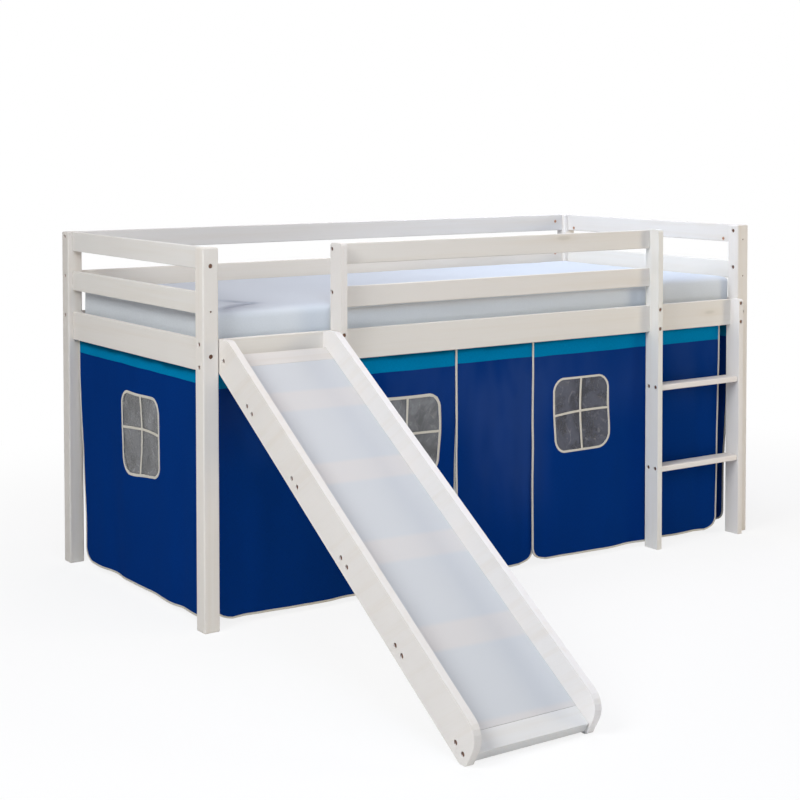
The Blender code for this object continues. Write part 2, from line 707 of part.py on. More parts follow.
def cloth_corners(start, end, grow=0.0):
    low = CLOTH_FLOOR_GAP
    return [
        (start, low, CLOTH_CORNER),
        (end, low, CLOTH_CORNER),
        (end, CLOTH_TOP + grow, 0),
        (start, CLOTH_TOP + grow, 0),
    ]


def window_corners(start, end, grow=0.0):
    low = WINDOW_SILL - grow
    high = WINDOW_SILL + WINDOW_HEIGHT + grow
    radius = WINDOW_CORNER + grow
    return [
        (start - grow, low, radius),
        (end + grow, low, radius),
        (end + grow, high, radius),
        (start - grow, high, radius),
    ]


def curtain(name, start, end, window, to_bed):
    """One curtain and, where window is its reach along it, the clear film sewn behind."""
    rings = [rounded_outline(cloth_corners(start, end))]
    if window:
        rings.append(rounded_outline(window_corners(*window)))
    low = (start - CUT_OVERRUN, CLOTH_FLOOR_GAP - CUT_OVERRUN)
    high = (end + CUT_OVERRUN, CLOTH_TOP + CUT_OVERRUN)
    hanging_sheet(f"curtain_{name}", rings, low, high, 0, CLOTH_THICKNESS, to_bed, CURTAIN_CLOTH)
    if not window:
        return
    rings = [rounded_outline(window_corners(*window, WINDOW_LAP))]
    reach = WINDOW_LAP + CUT_OVERRUN
    low = (window[0] - reach, WINDOW_SILL - reach)
    high = (window[1] + reach, WINDOW_SILL + WINDOW_HEIGHT + reach)
    layer = CLOTH_THICKNESS + WINDOW_GAP
    hanging_sheet(f"window_{name}", rings, low, high, layer, WINDOW_FILM, to_bed, WINDOW_SHEET)


def make_curtains():
    """Three curtains inside the front side rail, and one inside each end board."""
    start = POST_SIZE + CLOTH_POST_GAP
    first_end = start + FRONT_LEFT_CLOTH
    door_start = first_end + CLOTH_SPLIT_GAP
    door_end = door_start + FRONT_DOOR_CLOTH
    last_start = door_end + CLOTH_SPLIT_GAP
    last_end = BED_LENGTH - POST_SIZE - FRONT_RIGHT_END_GAP

    def front(across, inward, height):
        return (across, inward, height)

    def left_end(across, inward, height):
        return (inward, across, height)

    def right_end(across, inward, height):
        return (BED_LENGTH - inward, across, height)

    window_end = first_end - WINDOW_EDGE_GAP
    curtain("front_left", start, first_end, (window_end - FRONT_WINDOW_WIDTH, window_end), front)
    curtain("front_door", door_start, door_end, (), front)
    window_start = last_start + FRONT_RIGHT_WINDOW_START
    curtain("front_right", last_start, last_end, (window_start, window_start + FRONT_WINDOW_WIDTH), front)
    depth_start = CLOTH_PLACE + CLOTH_THICKNESS + WINDOW_FILM + FOLD_DEPTH + CLOTH_POST_GAP
    depth_start = max(depth_start, POST_SIZE + CLOTH_POST_GAP)
    depth_end = BED_WIDTH - POST_SIZE - CLOTH_POST_GAP
    end_window = (depth_start + END_WINDOW_START, depth_start + END_WINDOW_START + END_WINDOW_WIDTH)
    curtain("left_end", depth_start, depth_end, end_window, left_end)
    curtain("right_end", depth_start, depth_end, end_window, right_end)


make_posts()
make_end_rails()
make_long_rails()
make_guard_and_ladder()
board_outline = make_slide()
make_bed_base()
make_mattress()
make_curtains()

front_reach = min(spot[0] for spot in board_outline)
BED.location = (-BED_LENGTH / 2, -(BED_WIDTH + front_reach) / 2, 0)
bpy.context.view_layer.update()
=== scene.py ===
import math

import bmesh
import bpy
from bpy.props import FloatProperty, FloatVectorProperty, PointerProperty
from bpy.types import Operator, Panel, PropertyGroup
from mathutils import Matrix, Vector, noise


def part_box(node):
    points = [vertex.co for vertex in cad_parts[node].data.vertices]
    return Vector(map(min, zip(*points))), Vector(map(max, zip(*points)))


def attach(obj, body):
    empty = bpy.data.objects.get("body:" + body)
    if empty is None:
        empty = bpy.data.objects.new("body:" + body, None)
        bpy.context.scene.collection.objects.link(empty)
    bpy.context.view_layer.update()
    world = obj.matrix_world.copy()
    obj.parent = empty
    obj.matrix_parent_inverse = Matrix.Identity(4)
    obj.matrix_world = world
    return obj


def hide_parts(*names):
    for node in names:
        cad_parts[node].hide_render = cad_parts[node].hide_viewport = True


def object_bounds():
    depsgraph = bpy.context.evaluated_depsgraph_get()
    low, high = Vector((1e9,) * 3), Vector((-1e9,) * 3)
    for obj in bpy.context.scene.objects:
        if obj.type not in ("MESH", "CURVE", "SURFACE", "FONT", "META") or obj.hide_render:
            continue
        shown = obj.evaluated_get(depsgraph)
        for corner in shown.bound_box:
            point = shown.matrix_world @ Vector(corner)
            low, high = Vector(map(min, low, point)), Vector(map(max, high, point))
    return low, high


bl_info = {
    "name": "Loft bed with slide",
    "version": (1, 0, 0),
    "blender": (4, 5, 0),
    "location": "View3D > Sidebar > Loft bed",
    "description": "Dresses the packed loft bed: pine, slide sheet, mattress, curtains and bolts",
    "category": "Object",
}

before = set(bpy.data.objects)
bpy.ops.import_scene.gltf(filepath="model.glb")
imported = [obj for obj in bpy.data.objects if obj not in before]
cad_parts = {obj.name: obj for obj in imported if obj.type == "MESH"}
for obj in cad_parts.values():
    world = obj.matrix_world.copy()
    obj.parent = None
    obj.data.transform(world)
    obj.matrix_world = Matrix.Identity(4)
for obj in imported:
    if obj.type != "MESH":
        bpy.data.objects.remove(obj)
CAD_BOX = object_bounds()

# Places below are measured from the front left post's outer corner on the floor.
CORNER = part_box("post_front_left")[0]
BED_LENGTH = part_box("post_front_right")[1].x - CORNER.x
BED_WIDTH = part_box("post_back_left")[1].y - CORNER.y
POST_MIDDLE = 0.024
CLOTH_INSET = 0.0345
SIDE_RAIL_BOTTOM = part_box("front_side_rail")[0].z
CLOTH_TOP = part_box("curtain_front_left")[1].z
CLOTH_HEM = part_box("curtain_front_left")[0].z
SLIDE_SLATS = [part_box(f"slide_slat_{number}") for number in (1, 2, 3, 4)]
SLAT_MIDDLES = [(low + high) / 2 for low, high in SLIDE_SLATS]
SLIDE_WAY = (SLAT_MIDDLES[-1] - SLAT_MIDDLES[0]).normalized()
SLIDE_PITCH = (SLAT_MIDDLES[-1] - SLAT_MIDDLES[0]).length / 3
SLIDE_TILT = math.atan2(-SLIDE_WAY.z, -SLIDE_WAY.y)
LEFT, RIGHT, FRONT, REAR = (-1, 0, 0), (1, 0, 0), (0, -1, 0), (0, 1, 0)

# Heights of the bolts in the side rails, at the back posts' ends and in the guard.
SIDE_BOLTS = (0.7315, 0.7945)
BACK_BOLTS = (0.7945, 0.920, 1.045)
GUARD_BOLTS = (0.915, 1.040)
# Heights of the bolts and of the small screws in the posts' front and back faces.
LEFT_POST_HEADS, LEFT_POST_SCREWS = (0.762, 1.010), (0.885,)
RIGHT_POST_HEADS, RIGHT_POST_SCREWS = (0.762,), (0.885, 1.010)

# Threads in a metre of curtain cotton, and the radius of the curtains' lower corners.
THREADS = 1500
HEM_CORNER = 0.066
# How near to an outline a face's middle may lie and still count as inside it.
ON_LINE = 0.0004
# Faces this near to the mattress's top belong to it. Its two deep creases run out from a V, cut to one
# width and given painted shade over another.
TOP_LAYER = 0.02
CREASES = (
    ((0.246, 0.154), (0.150, 0.113), (0.055, 0.050)),
    ((0.252, 0.150), (0.222, 0.204), (0.196, 0.330)),
)
CREASE_WIDTH, CREASE_SHADE, CREASE_DEPTH = 0.0085, 0.019, 0.0105
# Frames that the cloth pressure runs for.
SWELL_FRAMES = 20

# Each lamp: its place, what it is aimed at, width in metres, power in watts and tint.
LAMPS = {
    "lamp_left": ((-4.2, -1.2, 3.6), (0.2, 0.1, 0.5), 2.4, 168, (0.993, 1.0, 1.0)),
    "lamp_key": ((-1.6, -2.6, 2.6), (1.8, 0.3, 0.8), 1.8, 51, (0.69, 0.815, 1.0)),
    "lamp_right": ((4.2, -3.8, 1.8), (1.0, 0.0, 0.7), 2.0, 103, (1.0, 0.858, 0.62)),
    "lamp_inner": ((0.5, 0.75, 2.3), (2.1, 0.35, 0.9), 0.8, 20, (0.71, 0.82, 1.0)),
    "lamp_top": ((0.2, 0.3, 4.8), (0.0, 0.0, 0.0), 3.0, 60, (0.94, 0.875, 1.0)),
    "lamp_back": ((2.6, 4.8, 1.9), (0.2, 0.9, 0.6), 2.0, 70, (1.0, 0.97, 0.94)),
}
# The camera fitted to the photo.
CAMERA_PLACE = (-2.0609, -4.0164, 1.3603)
CAMERA_YAW, CAMERA_PITCH = -0.6148, -0.0379
CAMERA_LENS, CAMERA_SHIFT = 74.297, (-0.045, -0.25)

# Painted light and shade: each of these pieces is tinted darker or lighter than the rest, darker where
# it should lie in more shade (the back left post, the back top rail, the top slat) and lighter or cooler
# where it should catch more light (the ladder, its steps, the slide's right board).
PAINTED_LIGHT_TINTS = {
    "post_front_left": (0.955, 0.945, 0.930),
    "post_back_left": (0.880, 0.875, 0.865),
    "left_end_board": (0.950, 0.950, 0.945),
    "left_end_middle_rail": (0.950, 0.960, 0.960),
    "left_end_top_rail": (0.955, 0.970, 0.985),
    "right_end_top_rail": (0.965, 0.965, 0.965),
    "right_end_middle_rail": (1.020, 1.030, 1.020),
    "back_top_rail": (0.875, 0.895, 0.930),
    "back_middle_rail": (0.955, 0.950, 0.935),
    "front_side_rail": (0.990, 0.990, 0.975),
    "guard_left_upright": (1.010, 1.010, 1.020),
    "guard_top_rail": (0.975, 0.975, 0.970),
    "guard_lower_rail": (0.980, 0.975, 0.965),
    "ladder_left_upright": (1.035, 1.065, 1.070),
    "ladder_right_upright": (1.040, 1.050, 1.070),
    "ladder_lower_step": (1.100, 1.100, 1.120),
    "ladder_upper_step": (1.070, 1.070, 1.090),
    "slide_left_board": (0.975, 0.975, 0.980),
    "slide_right_board": (1.080, 1.100, 1.150),
    "slide_top_slat": (0.810, 0.810, 0.810),
    "slide_bottom_slat": (0.900, 0.935, 0.970),
}


def size(label, words, default):
    return FloatProperty(name=label, description=words, default=default, min=0, unit="LENGTH")


def colour(label, words, default):
    return FloatVectorProperty(
        name=label, description=words, default=default, min=0, max=1, size=3, subtype="COLOR"
    )


class LoftBedSizes(PropertyGroup):
    cloth_thickness: size("Cloth thickness", "Thickness of the curtain cotton", 0.0012)
    cloth_cell: size("Cloth cell", "Width of one cell of the curtain mesh", 0.012)
    band_drop: size("Band drop", "Height of the band below the side rail", 0.0475)
    binding_width: size("Binding width", "Width of the ivory binding on the curtain edges", 0.006)
    window_binding: size("Window binding", "Width of the ivory binding round the windows", 0.0078)
    binding_thickness: size("Binding thickness", "Thickness of the binding over the cloth", 0.0034)
    front_window: size("Front window width", "Width of the windows in the front curtains", 0.240)
    end_window: size("End window width", "Width of the windows in the end curtains", 0.258)
    window_height: size("Window height", "Height of each clear window", 0.246)
    window_corner: size("Window corner", "Radius of the window corners", 0.046)
    bar_width: size("Bar width", "Width of the tapes that cross the windows", 0.0072)
    bolt_radius: size("Bolt radius", "Radius of a bolt head in the posts", 0.0066)
    ladder_bolt: size("Ladder bolt", "Radius of a bolt head in the ladder and the guard", 0.0059)
    slide_bolt: size("Slide bolt", "Radius of a bolt head in the slide", 0.0062)
    bolt_depth: size("Bolt depth", "How deep a bolt head lies in its recess", 0.0008)
    fine_radius: size("Fine bolt radius", "Radius of the small screws in the posts", 0.0030)
    nut_radius: size("Nut radius", "Radius of a barrel nut's end", 0.0058)
    mattress_edge: size("Mattress edge", "Radius of the mattress's long edges", 0.013)
    mattress_corner: size("Mattress corner", "Radius of the mattress's upright corners", 0.013)


class LoftBedColours(PropertyGroup):
    wash: colour("Whitewash", "Limewashed face of the pine", (0.740, 0.700, 0.650))
    timber: colour("Timber", "Pine that shows through the wash", (0.640, 0.545, 0.420))
    knot: colour("Knot", "Knots under the wash", (0.400, 0.370, 0.300))
    plain_pine: colour("Plain pine", "Untreated slats and ledgers", (0.690, 0.560, 0.380))
    sheet: colour("Slide sheet", "Milky sheet of the slide", (0.535, 0.545, 0.551))
    sheet_slat: colour("Slat under the sheet", "Slat seen through the sheet", (0.588, 0.562, 0.540))
    mattress: colour("Mattress", "Cover of the mattress", (0.655, 0.692, 0.728))
    # Painted shade: the colour that the cover is darkened towards down the two deep creases.
    mattress_crease: colour("Mattress crease", "Cover down in the deep creases", (0.300, 0.315, 0.365))
    curtain: colour("Curtain", "Blue curtain cotton", (0.0012, 0.0293, 0.170))
    # Painted sheen: a greyer, lighter blue that stands for light caught on the upper front curtains and
    # the door flap.
    sheen: colour("Curtain sheen", "Greyer nap of the front curtains", (0.0135, 0.0450, 0.188))
    band: colour("Band", "Turquoise band at the top of the curtains", (0.000, 0.190, 0.390))
    # Painted shadow: the dark colour laid along the top of the band, where the side rail's shadow falls.
    gather: colour("Gathers", "Deep gathers along the top of the band", (0.000, 0.068, 0.135))
    binding: colour("Binding", "Ivory edge binding", (0.640, 0.600, 0.520))
    # Painted shade: the clear film is drawn nearly opaque grey, standing for the dark inside seen
    # through it, darker at the ends and darker still by the ladder.
    film: colour("Window film", "Clear film seen against the dark inside", (0.140, 0.145, 0.155))
    end_film: colour("End window film", "Clear film of the end curtains", (0.089, 0.091, 0.097))
    dark_film: colour("Dark window film", "Film by the ladder, in deeper shade", (0.062, 0.066, 0.088))
    brass: colour("Brass", "Copper-brown bolt heads", (0.560, 0.300, 0.190))
    bronze: colour("Bronze", "Dark rims and sockets", (0.160, 0.075, 0.045))


def place(x, y, z):
    """A place measured from the front left post's outer corner."""
    return Vector((CORNER.x + x, CORNER.y + y, CORNER.z + z))


class Shade:
    """A shader socket that takes part in sums."""

    def __init__(self, nodes, socket):
        self.nodes = nodes
        self.socket = socket

    def work(self, operation, *others):
        values = dict(enumerate((self, *others)))
        return self.nodes.add("ShaderNodeMath", {"operation": operation}, values)

    def __add__(self, other):
        return self.work("ADD", other)

    def __sub__(self, other):
        return self.work("SUBTRACT", other)

    def __rsub__(self, other):
        return self.nodes.add("ShaderNodeMath", {"operation": "SUBTRACT"}, {0: other, 1: self})

    def __mul__(self, other):
        return self.work("MULTIPLY", other)

    def __truediv__(self, other):
        return self.work("DIVIDE", other)

    __radd__ = __add__
    __rmul__ = __mul__


class Nodes:
    """A node tree and the ways in which nodes are added to it."""

    def __init__(self, tree):
        self.tree = tree

    def add(self, kind, settings=None, inputs=None, output=0):
        node = self.tree.nodes.new(kind)
        for label, value in (settings or {}).items():
            setattr(node, label, value)
        for label, value in (inputs or {}).items():
            self.feed(node.inputs[label], value)
        return Shade(self, node.outputs[output])

    def feed(self, socket, value):
        if isinstance(value, Shade):
            self.tree.links.new(value.socket, socket)
        else:
            socket.default_value = value

    def seen_plainly(self):
        """1 for the camera, mirrors and glass, which all see a plain white background."""
        rays = ("Is Camera Ray", "Is Glossy Ray", "Is Transmission Ray")
        camera, mirror, glass = (self.add("ShaderNodeLightPath", output=ray) for ray in rays)
        return camera.work("MAXIMUM", mirror).work("MAXIMUM", glass)


class Finish(Nodes):
    """A material: its nodes and the patterns that it is made of."""

    def __init__(self, name, **constants):
        self.material = bpy.data.materials.new(name)
        self.material.use_nodes = True
        super().__init__(self.material.node_tree)
        self.shader = self.tree.nodes["Principled BSDF"]
        for label, value in constants.items():
            self.shader.inputs[label.replace("_", " ")].default_value = value

    def surface(self, tone, rough, relief=None, alpha=1.0):
        """Closes the finish. Rough holds what ease takes, and relief a height, distance and strength."""
        inputs = self.shader.inputs
        self.feed(inputs["Base Color"], tone)
        self.feed(inputs["Roughness"], self.ease(*rough))
        self.feed(inputs["Alpha"], alpha)
        if relief:
            height, distance, strength = relief
            bump = {"Height": height, "Distance": distance, "Strength": strength}
            self.feed(inputs["Normal"], self.add("ShaderNodeBump", None, bump))
        return self.material

    def spot(self, scale=(1, 1, 1), turn=(0, 0, 0), shift=(0, 0, 0)):
        """Object coordinates, turned first and then scaled."""
        place_on = self.add("ShaderNodeTexCoord", output="Object")
        turned = {"Vector": place_on, "Rotation": turn, "Location": shift}
        turned = self.add("ShaderNodeMapping", None, turned)
        return self.add("ShaderNodeMapping", None, {"Vector": turned, "Scale": scale})

    def cloth_spot(self, scale):
        flat = self.add("ShaderNodeUVMap", {"uv_map": "cloth"})
        return self.add("ShaderNodeMapping", None, {"Vector": flat, "Scale": scale})

    def axis(self, vector, number):
        return self.add("ShaderNodeSeparateXYZ", None, {0: vector}, number)

    def grain(self, vector, detail=4.0, roughness=0.55, distortion=0.0):
        inputs = {"Vector": vector, "Scale": 1.0, "Detail": detail, "Roughness": roughness}
        return self.add("ShaderNodeTexNoise", None, {**inputs, "Distortion": distortion})

    def ease(self, value, low, high, start=0.0, end=1.0):
        """Runs smoothly from start to end while the value goes from low to high."""
        inputs = {"Value": value, "From Min": low, "From Max": high, "To Min": start, "To Max": end}
        return self.add("ShaderNodeMapRange", {"interpolation_type": "SMOOTHSTEP"}, inputs)

    def mix(self, share, first, second):
        return self.add("ShaderNodeMix", {"data_type": "RGBA"}, {0: share, 6: first, 7: second}, 2)


def paint(rgb, shade=1.0):
    return (*[channel * shade for channel in rgb], 1.0)


def whitewashed_pine(name, colours, along, tilt=0.0, share=(1.0, 1.0, 1.0)):
    """Limewashed pine. The grain runs along the given axis, after the tilt about X."""
    # A share other than one tints this piece: painted light and shade for pieces that should look
    # lighter or darker under the lamps.
    wash = [channel * part for channel, part in zip(colours.wash, share)]
    timber = [channel * part for channel, part in zip(colours.timber, share)]
    finish = Finish(name, Specular_IOR_Level=0.35)

    def stretched(long_scale, cross_scale, shift=(0, 0, 0)):
        scale = [long_scale if axis == along else cross_scale for axis in range(3)]
        return finish.spot(scale, (tilt, 0, 0), shift)

    fibres = finish.grain(stretched(3, 210), detail=5, roughness=0.65)
    streaks = finish.grain(stretched(1.2, 38), detail=4, distortion=0.25)
    cloud = finish.grain(stretched(2.2, 7), detail=2)
    knot_spots = {"Vector": stretched(3.1, 11.5, (0.37, 0.21, 0.13)), "Scale": 1.0}
    cells, chance = (
        finish.add("ShaderNodeTexVoronoi", None, knot_spots, output) for output in ("Distance", "Color")
    )
    pick = finish.ease(finish.add("ShaderNodeSeparateColor", None, {"Color": chance}), 0.80, 0.84)
    knots = finish.ease(cells, 0.115, 0.045) * pick
    halo = finish.ease(cells, 0.26, 0.08) * pick
    wear = finish.ease(streaks, 0.46, 0.72) * 0.20 + finish.ease(fibres, 0.52, 0.80) * 0.12
    wear = wear + halo * 0.16
    tone = finish.mix(wear, paint(wash), paint(timber))
    tone = finish.mix(finish.ease(cloud, 0.35, 0.7) * 0.22, tone, paint(wash, 0.95))
    tone = finish.mix(knots * 0.28, tone, paint(colours.knot))
    height = fibres * 0.6 + streaks * 0.4 - knots * 0.5
    return finish.surface(tone, (fibres, 0.2, 0.8, 0.50, 0.64), (height, 0.0007, 0.35))


def plain_pine(name, colours, along):
    finish = Finish(name, Specular_IOR_Level=0.3)
    scale = [2.0 if axis == along else 60 for axis in range(3)]
    rings = finish.grain(finish.spot(scale), detail=5, distortion=0.4)
    fibres = finish.grain(finish.spot([value * 4 for value in scale]), detail=3)
    pale, dark = paint(colours.plain_pine), paint(colours.timber, 0.82)
    tone = finish.mix(finish.ease(rings, 0.35, 0.7), pale, dark)
    return finish.surface(tone, (fibres, 0.2, 0.8, 0.6, 0.75), (fibres, 0.0005, 0.4))


def slide_sheet(colours):
    """Milky sheet: the cross slats show through it as warmer bands with soft edges."""
    finish = Finish("milky_slide_sheet", Specular_IOR_Level=0.2, IOR=1.45)
    inputs = {0: finish.add("ShaderNodeTexCoord", output="Object"), 1: SLIDE_WAY}
    along = finish.add("ShaderNodeVectorMath", {"operation": "DOT_PRODUCT"}, inputs, "Value")
    start = SLAT_MIDDLES[0].dot(SLIDE_WAY) - SLIDE_PITCH * 1.5
    turn = ((along - start) / SLIDE_PITCH).work("FRACT")
    off = (turn - 0.5).work("ABSOLUTE") * SLIDE_PITCH
    soft = finish.grain(finish.spot((4, 4, 4)), detail=2)
    band = finish.ease(off, 0.048, 0.030)
    tone = finish.mix(band, paint(colours.sheet), paint(colours.sheet_slat))
    tone = finish.mix(finish.ease(soft, 0.3, 0.75) * 0.2, tone, paint(colours.sheet, 1.05))
    return finish.surface(tone, (soft, 0.3, 0.7, 0.42, 0.52))


def woven(name, rgb, shade=0.86, slub=0.08, bump=0.0002, sheen=None, gather=None):
    """Plain cotton: threads both ways and a few slubs. Where asked, a painted sheen lightens the upper
    part and the door flap, and a painted shadow darkens the top of the band under the rail.
    """
    finish = Finish(name, Specular_IOR_Level=0.01)
    warp = finish.grain(finish.cloth_spot((THREADS, THREADS * slub, 1)), detail=2)
    weft = finish.grain(finish.cloth_spot((THREADS * slub, THREADS, 1)), detail=2)
    wide = finish.grain(finish.cloth_spot((9, 4, 1)), detail=3)
    cloth = warp * 0.5 + weft * 0.5
    tone = finish.mix(finish.ease(cloth, 0.35, 0.65), paint(rgb, shade), paint(rgb, 2 - shade))
    tone = finish.mix(finish.ease(wide, 0.35, 0.7) * 0.3, tone, paint(rgb, shade))
    across, height = (finish.axis(finish.cloth_spot((1, 1, 1)), number) for number in (0, 1))
    if sheen:
        # Painted sheen: lighter, greyer patches over the door flap's middle and over the upper part of
        # the front curtains.
        sheen_noise = finish.grain(finish.cloth_spot((4.5, 1.6, 1)), detail=3, distortion=0.3)
        off = (across - 1.08).work("ABSOLUTE")
        painted_sheen_share = finish.ease(off, 0.22, 0.06) * finish.ease(height, 0.10, 0.32) * 0.9
        painted_sheen_share = painted_sheen_share + finish.ease(height, 0.38, 0.60) * 0.6
        tone = finish.mix(finish.ease(sheen_noise, 0.36, 0.60) * painted_sheen_share, tone, paint(sheen))
    if gather:
        # Painted shadow of the side rail along the top of the band: its reach eases from the near to the
        # far value along the band and wavers with the folds noise.
        rgb, near_shadow_reach, far_shadow_reach = gather
        folds = finish.grain(finish.cloth_spot((8, 2, 1)), detail=1)
        reach = finish.ease(across, 0.9, 1.35, near_shadow_reach, far_shadow_reach)
        reach = reach + finish.ease(folds, 0.30, 0.70, -0.003, 0.003)
        near = (height - (SIDE_RAIL_BOTTOM - 0.002) + reach) / 0.016
        tone = finish.mix(finish.ease(near, -0.5, 0.5) * 0.75, tone, paint(rgb))
    return finish.surface(tone, (cloth, 0.3, 0.7, 0.92, 0.76), (cloth, bump, 0.5))


def mattress_cover(colours):
    """Brushed knit: fine slubs all over and long soft creases, with painted shade down the two deep
    creases and over the top.
    """
    finish = Finish("mattress_cover", Specular_IOR_Level=0.05)
    knit = finish.grain(finish.spot((700, 700, 700)), detail=2, roughness=0.6)
    ribs = finish.grain(finish.spot((620, 90, 620)), detail=2)
    wide = finish.grain(finish.spot((3, 5, 3)), detail=3, distortion=0.4)
    cloth = knit * 0.5 + ribs * 0.5
    dull = paint(colours.mattress, 0.95)
    tone = finish.mix(finish.ease(cloth, 0.35, 0.65), dull, paint(colours.mattress, 1.04))
    tone = finish.mix(finish.ease(wide, 0.4, 0.75) * 0.35, tone, dull)
    # Painted shade: the top and the upper part of its rounded edge are darkened a little, where the
    # lamps light the cover most.
    level = finish.axis(finish.spot(), 2)
    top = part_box("mattress")[1].z
    upper = finish.ease(level, top - 0.011, top - 0.004) * 0.7
    tone = finish.mix(upper, tone, paint(colours.mattress, 0.90))
    # Painted shade: the crease attribute darkens the cover down the two deep creases.
    crease = finish.add("ShaderNodeAttribute", {"attribute_name": "crease"}, output="Fac")
    tone = finish.mix(crease * 0.75, tone, paint(colours.mattress_crease))
    return finish.surface(tone, (cloth, 0.3, 0.7, 0.95, 0.82), (cloth + wide * 1.5, 0.0006, 0.30))


def window_film(name, rgb):
    """Clear film drawn as painted shade of the dark inside: grey, with painted highlights along its
    creases, stronger low down.
    """
    finish = Finish(name, Specular_IOR_Level=0.5, IOR=1.45)
    cloud = finish.grain(finish.cloth_spot((9, 8, 1)), detail=4, distortion=1.2)
    crease = finish.grain(finish.cloth_spot((26, 20, 1)), detail=5, roughness=0.65, distortion=2.2)
    height = finish.axis(finish.cloth_spot((1, 1, 1)), 1)
    low = finish.ease(height, 0.43, 0.36)
    # Painted highlight: pale streaks along the creases, stronger towards the lower edge, which also make
    # the film more opaque there.
    pale = finish.ease(crease, 0.60, 0.70) * (finish.ease(cloud, 0.42, 0.62) * 0.45 + low)
    tone = finish.mix(finish.ease(cloud, 0.35, 0.65), paint(rgb, 0.62), paint(rgb, 1.45))
    tone = finish.mix(pale * 0.45, tone, (0.52, 0.52, 0.50, 1))
    alpha = finish.ease(pale, 0.0, 1.0, 0.86, 0.97)
    return finish.surface(tone, (crease, 0.3, 0.7, 0.12, 0.32), (crease + cloud * 2, 0.003, 0.5), alpha)


def cast_brass(name, rgb, dark):
    finish = Finish(name, Metallic=0.45)
    spots = finish.grain(finish.spot((240, 240, 240)), detail=4)
    tone = finish.mix(finish.ease(spots, 0.45, 0.7) * 0.5, paint(rgb), paint(dark))
    return finish.surface(tone, (spots, 0.3, 0.75, 0.30, 0.55), (spots, 0.0002, 0.3))


def new_piece(name, work, materials, body="bed"):
    mesh = bpy.data.meshes.new(name)
    work.normal_update()
    work.to_mesh(mesh)
    work.free()
    for material in materials:
        mesh.materials.append(material)
    piece = bpy.data.objects.new(name, mesh)
    bpy.context.scene.collection.objects.link(piece)
    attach(piece, body)
    return piece


def modify(piece, kind, **settings):
    modifier = piece.modifiers.new(kind.lower(), kind)
    for label, value in settings.items():
        setattr(modifier, label, value)
    return modifier


def baked_mesh(piece):
    graph = bpy.context.evaluated_depsgraph_get()
    return bpy.data.meshes.new_from_object(piece.evaluated_get(graph))


class RoundedBox:
    """A flat outline with rounded corners, used to cut a sheet and to sort its faces."""

    def __init__(self, low, high, radius):
        self.low = Vector(low)
        self.high = Vector(high)
        self.radius = radius

    def grown(self, reach):
        step = Vector((reach, reach))
        return RoundedBox(self.low - step, self.high + step, max(self.radius + reach, 0.001))

    def distance(self, point):
        """How far a point lies outside the outline; less than nothing is inside."""
        middle = (self.low + self.high) / 2
        half = (self.high - self.low) / 2
        across = abs(point[0] - middle.x) - half.x + self.radius
        up = abs(point[1] - middle.y) - half.y + self.radius
        outside = Vector((max(across, 0), max(up, 0))).length
        return outside + min(max(across, up), 0) - self.radius

    def tangents(self, steps=6):
        """Points on the outline, the way out at each, and how far along it the cut reaches."""
        middle = (self.low + self.high) / 2
        half = (self.high - self.low) / 2
        across, up = (half.x, half.y), (half.y, half.x)
        for way, (reach, length) in ((RIGHT, across), (LEFT, across), (REAR, up), (FRONT, up)):
            yield middle + Vector(way).xy * reach, Vector(way).xy, length
        for quarter in range(4):
            across = 1 if quarter in (0, 3) else -1
            up = 1 if quarter in (0, 1) else -1
            centre = middle + Vector((across * (half.x - self.radius), up * (half.y - self.radius)))
            for step in range(1, steps):
                angle = math.pi / 2 * (quarter + step / steps)
                way = Vector((math.cos(angle), math.sin(angle)))
                yield centre + way * self.radius, way, self.radius * 0.45


def cut_outline(work, outline, cell, clear=False):
    """Cuts a flat sheet along an outline, and takes off what lies outside if clear is set."""
    for point, way, reach in outline.tangents():
        faces = work.faces[:]
        if not clear:
            side = Vector((-way.y, way.x))
            away = [face.calc_center_median().xy - point for face in faces]
            faces = [
                face
                for face, off in zip(faces, away)
                if abs(off.dot(way)) < cell and abs(off.dot(side)) < reach + cell
            ]
        edges = {edge for face in faces for edge in face.edges}
        spots = {spot for face in faces for spot in face.verts}
        bmesh.ops.bisect_plane(
            work,
            geom=list(spots) + list(edges) + faces,
            dist=0.00002,
            plane_co=(point.x, point.y, 0),
            plane_no=(way.x, way.y, 0),
            clear_outer=clear,
        )


def flat_sheet(low, high, cell):
    """A flat grid between two corners, X across and Y up."""
    work = bmesh.new()
    across = max(2, round((high[0] - low[0]) / cell))
    up = max(2, round((high[1] - low[1]) / cell))
    bmesh.ops.create_grid(work, x_segments=across, y_segments=up, size=0.5)
    bmesh.ops.scale(work, vec=(high[0] - low[0], high[1] - low[1], 1), verts=work.verts)
    bmesh.ops.translate(work, vec=((low[0] + high[0]) / 2, (low[1] + high[1]) / 2, 0), verts=work.verts)
    return work


def keep_faces(work, test):
    gone = [face for face in work.faces if not test(face.calc_center_median())]
    bmesh.ops.delete(work, geom=gone, context="FACES")
    loose = [spot for spot in work.verts if not spot.link_faces]
    bmesh.ops.delete(work, geom=loose, context="VERTS")


def clamp(value):
    return min(1.0, max(0.0, value))


def smooth_step(value):
    value = clamp(value)
    return value * value * (3 - 2 * value)


def bell(value):
    """1 at zero, falling off softly to both sides."""
    return math.exp(-value * value)


def wave(*spot):
    return noise.noise(Vector(spot))


